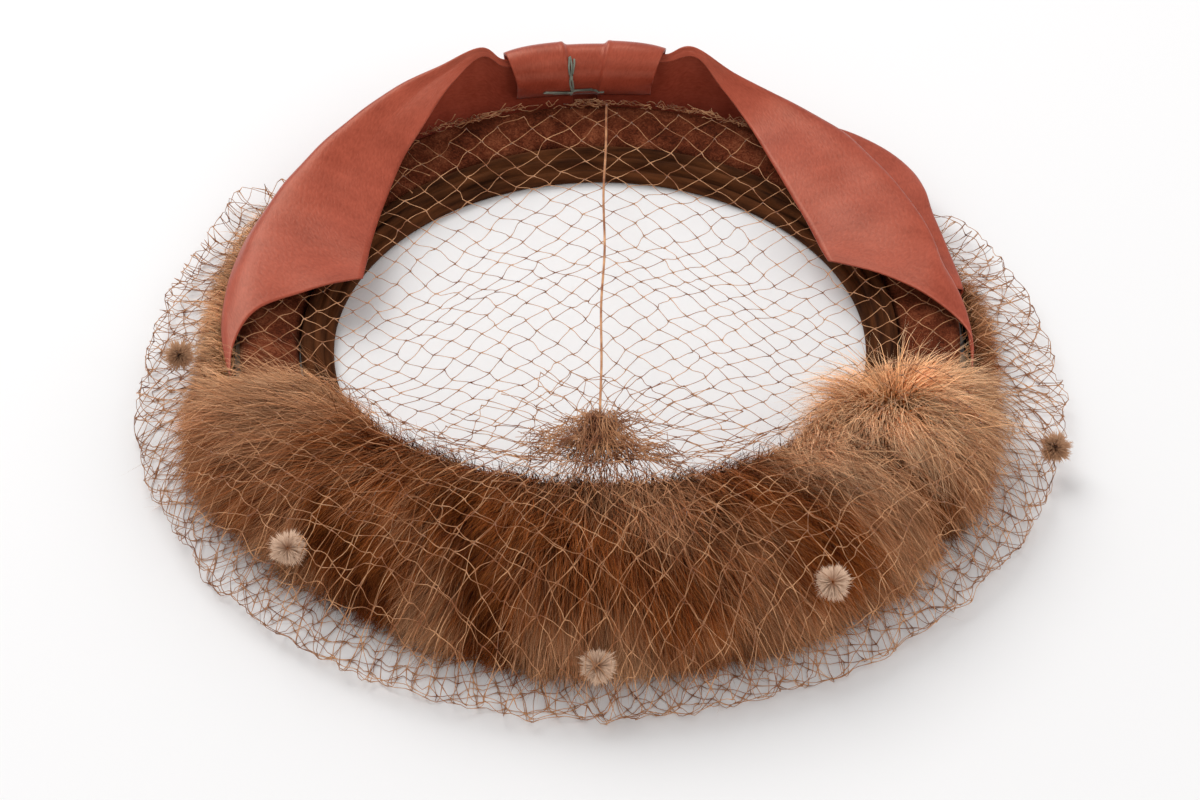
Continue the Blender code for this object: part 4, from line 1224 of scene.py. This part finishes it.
@dataclass
class VeilNet:
    """The diamond net: sewn to the felt behind, tented over the opening, then over the fur to the table."""

    form: FurForm
    cell_width: float = 8.2
    cell_depth: float = 8.2
    thread_radius: float = 0.105
    sewn_radius: float = 98.4
    sewn_turn: float = 38.0
    hem_half_width: float = 129.0
    hem_half_depth: float = 125.0
    hem_centre_y: float = -20.0
    back_hem: Table = (  # turn, left reach, right reach
        (38.0, 102.5, 102.5),
        (49.0, 104.0, 103.5),
        (54.0, 116.0, 106.0),
        (59.0, 124.0, 110.0),
        (66.0, 123.0, 116.5),
        (74.0, 123.0, 120.5),
        (82.0, 124.8, 122.8),
        (90.0, 126.5, 125.5),
        (98.0, 129.0, 128.5),
    )
    belly_height: float = 6.5
    shoulder_share: float = 0.8
    over_fur: float = 2.0
    back_edge: float = -6.0
    back_depth: float = 98.0
    back_half_width: float = 62.0
    tent_front: float = 76.0
    tent_half_width: float = 74.5
    tent_crest: float = 0.86
    tuck: float = 26.0
    hem_bend: float = 9.0
    fray: float = 2.6
    lowest: float = 0.3
    felt_level: float = 11.1
    gather: tuple[float, float] = (0.0, -69.0)
    gather_pull: float = 0.62
    gather_reach: float = 30.0
    knot_wave: float = 3.0
    knot_unevenness: float = 0.62
    bow: float = 0.26
    curl: float = 0.16
    layers: tuple[tuple[int, float, float], ...] = ((61, 0.0, 1.0), (161, 17.0, 1.12))  # seed, slant, cell
    skirt_depth: float = 19.0
    fur_depth: float = 22.0
    gather_spread: float = 46.0
    slack: float = 0.9
    sewn_threads: int = 130

    def hem_radius(self, bearing: Array) -> Array:
        """The veil's reach from the opening's centre: the hem's ellipse, drawn in behind to the sewn arc.

        The ray from the opening's centre meets the ellipse where a quadratic in the distance is zero.

        Args:
            bearing: in degrees.

        Returns:
            Distances in millimetres.
        """
        angle = np.radians(bearing)
        x, y = np.sin(angle), -np.cos(angle)
        a, b, c = 1.0 / self.hem_half_width**2, 1.0 / self.hem_half_depth**2, self.hem_centre_y
        square, linear, rest = a * x * x + b * y * y, -2.0 * b * y * c, b * c * c - 1.0
        ellipse = (-linear + np.sqrt(linear**2 - 4.0 * square * rest)) / (2.0 * square)
        turn = 180.0 - np.abs(bearing)
        left, right = read_columns(self.back_hem, turn)
        spread = np.where(turn < 98.0, np.where(bearing < 0.0, left, right), ellipse)
        return np.where(turn < self.sewn_turn, self.sewn_radius, spread)

    def height(self, x: Array, y: Array) -> Array:
        """Height of the net over a point: the highest of the felt, the tent and the fur, then its skirt.

        The tent rises from the felt's back to the fur's crest in front. Past the fur's shoulder the net
        falls to its belly in a rounded skirt; behind, beside the felt, it falls steeply.

        Args:
            x: across, in millimetres.
            y: along, in millimetres.

        Returns:
            Heights in millimetres.
        """
        bearing, radius = seen_from_above(x, y)
        inner, outer, top, _ = self.form.sections(bearing)
        edge = opening_radius(bearing)
        tail = (bearing > self.form.ENDS[0]) & (bearing < self.form.ENDS[1])
        shoulder = np.maximum(inner + self.shoulder_share * (outer - inner), FELT_OUTER + 1.5)
        start = edge + np.where(tail, shoulder, FELT_OUTER + 0.8)
        on_fur = self.form.height_under(bearing, np.minimum(radius, start)) + self.over_fur + 0.06 * top
        on_fur = on_fur * ramp(radius - edge - np.maximum(inner, 0.0), -13.0, 3.0)
        side = np.clip(np.abs(x) / self.back_half_width, 0.0, 1.0)
        back = self.back_edge + self.back_depth * (0.5 + 0.5 * np.cos(np.pi * side))
        rise = np.clip((back - y) / (back + self.tent_front), 0.0, 1.0)
        beside = np.degrees(np.arcsin(np.clip(x / self.tent_half_width, -0.966, 0.966)))
        crest = self.form.sections(beside)[2] * self.tent_crest
        tent = self.felt_level + np.maximum(crest - self.felt_level, 0.0) * rise
        surface = np.maximum(np.maximum(tent, on_fur), self.felt_level)
        reach = self.hem_radius(bearing)
        fall = np.clip((radius - start) / np.maximum(reach - start, 1.0), 0.0, 1.0)
        skirt = self.belly_height + (surface - self.belly_height) * (1.0 - fall**1.7) ** 0.85
        steep = 1.4 + (surface - 1.4) * np.exp(-np.clip(radius - start, 0.0, None) / 1.2) + 5.1 * fall**2
        turn = 180.0 - np.abs(bearing)
        behind = ramp(-turn, -84.0, -70.0)
        skirt = skirt * (1.0 - behind) + steep * behind
        return np.where(radius > start, skirt, surface)

    def lift(self, flat: Array) -> Array:
        """Flat net points to their places: drawn to the gather, laid on the height, tucked past the hem.

        Near the gather the distance shrinks by a bell curve of itself. Past the hem, which is frayed, the
        radius turns back under the skirt and the height is that of thread on the table.

        Args:
            flat: (..., 2) places on the flat net.

        Returns:
            (..., 3) places in millimetres.
        """
        middle = np.array(self.gather)
        away = flat - middle
        drawn = 1.0 - self.gather_pull * bell(lengths(away), self.gather_reach)
        x, y = np.moveaxis(middle + away * drawn[..., None], -1, 0)
        bearing, radius = seen_from_above(x, y)
        reach = self.hem_radius(bearing)
        past = np.clip(radius - reach, 0.0, None)
        bend = np.clip(past / self.hem_bend, 0.0, 1.0) * np.pi / 2.0
        turned = np.minimum(radius, reach + self.fray * ripple(on_table(x, y), 13.0, 53, 2))
        turned = turned - 6.0 * (1.0 - np.cos(bend)) - np.clip(past - self.hem_bend, 0.0, None)
        angle = np.radians(bearing)
        x, y = turned * np.sin(angle), -turned * np.cos(angle)
        slack = on_table(x, y)
        under = 0.4 + 0.9 * np.abs(ripple(slack, 9.0, 52, 2))
        under = under + (self.belly_height - 0.4) * (1.0 - np.sin(bend))
        z = self.height(x, y)
        z = np.where(radius > reach, under, z + 0.9 * ripple(slack, 17.0, 51, 2) * ramp(z, 2.0, 8.0))
        return np.stack([x, y, np.maximum(z, self.lowest)], axis=-1)

    def knots(self, seed: int, slant: float, cell: float) -> tuple[Array, NDArray[np.bool_]]:
        """Knots of the flat net, and which of them are used.

        Knots stand at (i w/2, j d/2) where i + j is even, the whole grid turned by the slant. Towards the
        back the cells widen; everywhere the knots drift by slow waves and a seeded unevenness.

        Args:
            seed: of the unevenness.
            slant: turn of the grid, in degrees.
            cell: width of a diamond against cell_width.

        Returns:
            (I, J, 2) places and (I, J) flags.
        """
        i, j = np.meshgrid(np.arange(-50, 51), np.arange(-54, 40), indexing="ij")
        square = np.stack([i * self.cell_width / 2.0, j * self.cell_depth / 2.0], axis=-1) * cell
        cosine, sine = np.cos(np.radians(slant)), np.sin(np.radians(slant))
        knots = square @ np.array([[cosine, sine], [-sine, cosine]])
        drawn = np.linspace(-260.0, 260.0, 1041)
        stretched = np.cumsum(0.5 * (1.0 + 0.42 * ramp(drawn, 10.0, 80.0)))
        stretched -= np.interp(0.0, drawn, stretched)
        knots[..., 0] *= 1.0 + 0.20 * ramp(knots[..., 1], 5.0, 70.0)
        knots[..., 1] = np.interp(knots[..., 1], drawn, stretched)
        place = on_table(knots[..., 0], knots[..., 1])
        rng = np.random.default_rng(seed)
        waves = np.stack([ripple(place, 38.0, seed + 1), ripple(place, 38.0, seed + 2)], axis=-1)
        knots = knots + self.knot_wave * waves
        return knots + rng.normal(0.0, self.knot_unevenness, knots.shape), (i + j) % 2 == 0

    def threads(self, seed: int, slant: float = 0.0, cell: float = 1.0) -> Array:
        """The net's threads between knots, before they are lifted to their places.

        Each knot is joined to its two neighbours on the next column; a thread bows a little on the way.

        Args:
            seed: of the net's unevenness.
            slant: turn of the grid, in degrees.
            cell: width of a diamond against cell_width.

        Returns:
            (N, 5, 2) flat paths.
        """
        knots, even = self.knots(seed, slant, cell)
        starts, ends = [], []
        for low, high in ((slice(0, -1), slice(1, None)), (slice(1, None), slice(0, -1))):
            usable = even[:-1, low]
            starts.append(knots[:-1, low][usable])
            ends.append(knots[1:, high][usable])
        start, end = np.concatenate(starts), np.concatenate(ends)
        rng = np.random.default_rng(seed + 5)
        share = np.linspace(0.0, 1.0, 5)[None, :, None]
        across = unit(np.stack([-(end - start)[:, 1], (end - start)[:, 0]], axis=-1))
        bow = rng.normal(0.0, self.bow, (len(start), 1, 1)) * np.sin(np.pi * share)
        curl = rng.normal(0.0, self.curl, (len(start), 1, 1)) * np.sin(2.0 * np.pi * share)
        return start[:, None] + (end - start)[:, None] * share + across[:, None] * (bow + curl)

    def placed(self) -> Array:
        """All threads in place: the veil, and just under it parts of a slack second layer.

        Within ragged limits, the second layer is kept at the skirt, deeper in over the fur in front, and
        round the gather.

        Returns:
            (N, 5, 3) paths.
        """
        layers = []
        for number, (seed, slant, cell) in enumerate(self.layers):
            flat = self.threads(seed, slant, cell)
            bearing, radius = seen_from_above(flat[..., 0], flat[..., 1])
            past = radius - self.hem_radius(bearing)
            behind = np.abs(bearing) > 180.0 - self.sewn_turn
            keep = (past.max(axis=1) < self.tuck) & ~((past > 0.4) & behind).any(axis=1)
            if number:
                x, y = flat[:, 2, 0], flat[:, 2, 1]
                ragged = 5.0 * ripple(on_table(x, y), 31.0, 64, 2)
                depth = self.skirt_depth + self.fur_depth * ramp(-np.abs(bearing[:, 2]), -75.0, -45.0)
                skirt = (past[:, 2] + ragged > -depth) & ~behind[:, 2]
                round_gather = np.hypot(x, 1.3 * (y - self.gather[1])) + ragged < self.gather_spread
                keep &= skirt | round_gather
            lines = self.lift(flat[keep])
            drift = np.random.default_rng(seed + 7).normal(0.0, 0.15, (keep.sum(), 1))
            lines[..., 2] = np.maximum(lines[..., 2] + drift - number * self.slack, self.lowest)
            layers.append(lines)
        return np.concatenate(layers)

    def sewn_edge(self) -> Array:
        """Crumpled threads along the sewn arc: short runs of the bearing with a seeded waver, (N, 5, 3)."""
        rng = np.random.default_rng(66)
        count = self.sewn_threads
        turn = rng.uniform(-self.sewn_turn, self.sewn_turn, count)[:, None]
        run = rng.uniform(1.5, 4.5, count)[:, None] * np.linspace(-0.5, 0.5, 5)[None, :]
        radius = self.sewn_radius - 1.2 + rng.normal(0.0, 0.9, (count, 1)) + rng.normal(0.0, 0.5, (count, 5))
        height = self.felt_level + 0.4 + np.abs(rng.normal(0.0, 0.8, (count, 5)))
        return at_bearing(180.0 - turn - run, radius, height)

    def build(self, material: Material) -> Object:
        """All the net's threads as one mesh, each swelling to a knot at both ends."""
        paths = np.concatenate([self.placed(), self.sewn_edge()])
        radii = self.thread_radius * np.array([1.8, 1.0, 1.0, 1.0, 1.8])
        return dress(tubes("veil_threads", paths, radii, 3, material), "veil_net")


@dataclass
class DrawThread:
    """The thread drawn taut from the back of the felt to the gather, where both its ends are sewn."""

    radius: float = 0.34
    rings: int = 90
    sway: float = 0.35
    back_x: float = 1.9
    seat: float = 0.65

    def build(self, material: Material) -> Object:
        """One round tube along a nearly straight line, with a slight sway to the side."""
        low, high = node_box("draw_thread")
        back = np.array([self.back_x, high[1], low[2] + self.seat])
        front = np.array([0.0, low[1], high[2] - self.seat])
        share = np.linspace(0.0, 1.0, self.rings)
        line = back + (front - back) * share[:, None]
        line[:, 0] += self.sway * np.sin(np.pi * share) * np.sin(5.0 * np.pi * share)
        piece = tubes("gather_cord", line[None], np.full(self.rings, self.radius), 10, material)
        dress(piece, "draw_thread")
        return piece


@dataclass
class VeilGather:
    """The bunched net at the thread's end: a tied sheaf that fans out behind and flows down over the fur."""

    strands: int = 480
    swept_share: float = 0.34
    points: int = 9
    thread_radius: float = 0.11
    waver: float = 1.5

    def build(self, material: Material) -> Object:
        """Strands run front to back through a narrow waist, and some sweep across it.

        With s from -1 at the back to 1 at the front and an amount q for each strand, x = q (3 + w |s|^1.3)
        with w 13 behind and 15 in front, y goes from the tie by a strand's own reach, and z arches over
        the tie by cos(s). A swept strand runs along x instead, and sinks by the square of x.
        """
        low, high = node_box("veil_gather")
        tie = np.array([0.0, 0.5 * (low[1] + high[1]) - 2.5, low[2] + 1.5])
        rng = np.random.default_rng(71)

        def one_each(least: float, most: float) -> Array:
            """A random number for each strand."""
            return rng.uniform(least, most, (self.strands, 1))

        first, last = one_each(-1.0, 0.1), one_each(0.0, 1.0)
        way = first + (last - first) * np.linspace(0.0, 1.0, self.points)[None, :]
        amount = rng.normal(0.0, 0.55, (self.strands, 1))
        spread = np.where(way < 0.0, 13.0, 15.0)
        x = amount * (3.0 + spread * np.abs(way) ** 1.3) + rng.normal(0.0, 0.9, (self.strands, 1))
        behind, ahead = one_each(-1.5, 9.0), one_each(10.0, 26.0)
        y = np.where(way < 0.0, -behind, -ahead) * way
        lift = one_each(0.2, 6.4)
        z = lift * np.cos(0.5 * np.pi * way) - np.where(way < 0.0, 1.5, 2.8) * way**2
        swept = rng.uniform(size=self.strands) < self.swept_share
        run = one_each(-16.0, 16.0) + one_each(4.0, 9.0) * np.linspace(-1.0, 1.0, self.points)
        x[swept] = run[swept]
        y[swept] = (-0.5 * ahead + 4.0 - 0.16 * run)[swept]
        z[swept] = (0.8 * lift - 0.012 * run**2 - 1.0)[swept]
        paths = tie + np.stack([x, y, z], axis=-1)
        waver = rng.normal(0.0, self.waver, paths.shape)
        waver[:, 1:] = 0.5 * (waver[:, 1:] + waver[:, :-1])
        radii = np.full(self.points, self.thread_radius)
        return dress(tubes("gather_tuft", paths + waver, radii, 3, material), "veil_gather")


class DotStyle(Enum):
    """How a chenille dot has opened: flat as a flower, or round as a ball."""

    ROSETTE = "rosette"
    BALL = "ball"


@dataclass
class ChenilleDot:
    """One chenille dot on the net."""

    number: int
    style: DotStyle
    fibres: int = 1000
    petals: int = 13
    widths: Triple = (0.24, 0.28, 0.22)
    facing: Triple = (0.0, -0.55, 0.85)

    def build(self, material: Material) -> Object:
        """Fibres from the core: a ball spreads them every way, a rosette keeps them near one disc."""
        low, high = node_box(f"chenille_dot_{self.number}")
        centre = 0.5 * (low + high)
        rng = np.random.default_rng(80 + self.number)
        facing = unit(np.array(self.facing))
        across = unit(np.cross((0.0, 1.0, 0.0), facing))
        along = np.cross(facing, across)
        petal = rng.integers(0, self.petals, self.fibres)
        angle = (petal + 0.5 + rng.normal(0.0, 0.2, self.fibres)) * 2.0 * np.pi / self.petals
        tilt = rng.normal(0.0, 0.9 if self.style is DotStyle.BALL else 0.33, self.fibres)
        ray = np.cos(tilt)[:, None] * (np.cos(angle)[:, None] * across + np.sin(angle)[:, None] * along)
        ray = unit(ray + np.sin(tilt)[:, None] * facing)
        length = rng.uniform(0.88, 1.08, self.petals)[petal] * rng.uniform(3.9, 5.0, self.fibres)
        share = np.linspace(0.12, 1.0, 4)[None, :, None]
        bend = rng.normal(0.0, 0.5, (self.fibres, 1, 3)) * share**2
        paths = centre + ray[:, None] * length[:, None, None] * share + bend
        sideways = unit(np.cross(ray, facing + rng.normal(0.0, 0.5, ray.shape)))
        tint, shade = np.full(self.fibres, 0.5), rng.uniform(0.8, 1.2, self.fibres)
        name, lit = f"dot_{self.number}", unit(ray + facing)
        pile = hairs(name, paths, sideways, np.array(self.widths), material, tint, shade, lit)
        return dress(pile, f"chenille_dot_{self.number}")


@dataclass
class Studio:
    """A pale floor, soft light from above left, and the camera at the photograph's angle."""

    distance: float = 1.1
    elevation: float = 42.0
    lens: float = 116.58
    sensor: float = 36.0
    shift: float = -50.0 / 1200.0
    surround: float = 0.60
    paper: str = "#f4f3f3"
    lamps: tuple[tuple[str, Triple, float, float], ...] = (  # name, place, size, power
        ("key", (-0.55, 0.75, 1.25), 1.1, 14.0),
        ("fill", (0.9, -0.9, 1.0), 1.4, 5.5),
    )

    def build(self) -> None:
        """Camera, floor, lights and a white surround."""
        tilt = np.radians(self.elevation)
        target = OPENING_CENTRE * MM
        eye = target + self.distance * np.array([0.0, -np.cos(tilt), np.sin(tilt)])
        lens = bpy.data.cameras.new("camera")
        lens.lens, lens.sensor_width, lens.shift_y = self.lens, self.sensor, self.shift
        camera = bpy.data.objects.new("camera", lens)
        camera.location = eye
        camera.rotation_euler = (np.pi / 2.0 - tilt, 0.0, 0.0)
        bpy.context.collection.objects.link(camera)
        bpy.context.scene.camera = camera
        self.floor()
        for lamp in self.lamps:
            self.light(*lamp)
        world = bpy.data.worlds.new("surround")
        world.use_nodes = True
        sky = world.node_tree.nodes["Background"]
        sky.inputs["Color"].default_value = (1.0, 1.0, 1.0, 1.0)
        sky.inputs["Strength"].default_value = self.surround
        bpy.context.scene.world = world
        bpy.context.scene.view_settings.view_transform = "Standard"

    def floor(self) -> None:
        """A plain pale matt floor."""
        mesh = bpy.data.meshes.new("floor")
        mesh.from_pydata([(-4, -4, 0), (4, -4, 0), (4, 4, 0), (-4, 4, 0)], [], [(0, 1, 2, 3)])
        paper = bpy.data.materials.new("white_paper_matt")
        paper.use_nodes = True
        shader = paper.node_tree.nodes["Principled BSDF"]
        shader.inputs["Base Color"].default_value = to_linear(self.paper)
        shader.inputs["Roughness"].default_value = 0.9
        mesh.materials.append(paper)
        floor = bpy.data.objects.new("floor", mesh)
        bpy.context.collection.objects.link(floor)

    def light(self, name: str, place: Triple, size: float, power: float) -> None:
        """A square soft light that faces the hat."""
        lamp = bpy.data.lights.new(name, "AREA")
        lamp.size, lamp.energy = size, power
        light = bpy.data.objects.new(name, lamp)
        light.location = place
        light.rotation_euler = (-Vector(place)).to_track_quat("-Z", "Y").to_euler()
        bpy.context.collection.objects.link(light)


def report(piece: Object) -> None:
    """Log a piece's name and its triangles."""
    view = bpy.context.evaluated_depsgraph_get()
    mesh = piece.evaluated_get(view).to_mesh()
    mesh.calc_loop_triangles()
    log.info("%s: %d triangles", piece.name, len(mesh.loop_triangles))
    piece.evaluated_get(view).to_mesh_clear()


def main() -> None:
    """Build the hat from the ring outwards, then the studio."""
    logging.basicConfig(level=logging.INFO, format="%(message)s")
    form = FurForm()
    satin = WovenSatin().material()
    net_thread = SpunThread("nylon_net_thread", "#93562f", "#dca272").material()
    Studio().build()
    knot = SatinKnot()
    veil = VeilNet(form)
    pale = CutChenille("chenille_pile_pale", "#a06f50", "#e9c6aa").material()
    brown = CutChenille("chenille_pile_brown", "#6b3f26", "#c99a76").material()
    made = [
        FeltRing().build(),
        DrapedBand().build(),
        *FurPile(form).build(),
        SatinWing(Side.LEFT, LEFT_WING, (0.033, 0.172)).build(satin),
        SatinWing(Side.RIGHT, RIGHT_WING, (0.033, 0.172)).build(satin),
        SatinWing(Side.RIGHT, RIGHT_UNDER, (0.022, 0.086), "_under").build(satin),
        knot.build(satin),
        knot.stitches(),
        veil.build(net_thread),
        DrawThread().build(net_thread),
        VeilGather().build(net_thread),
        *(ChenilleDot(number, DotStyle.BALL).build(brown) for number in (1, 5)),
        *(ChenilleDot(number, DotStyle.ROSETTE).build(pale) for number in (2, 3, 4)),
    ]
    for piece in made:
        report(piece)


if __name__ == "__main__":
    main()
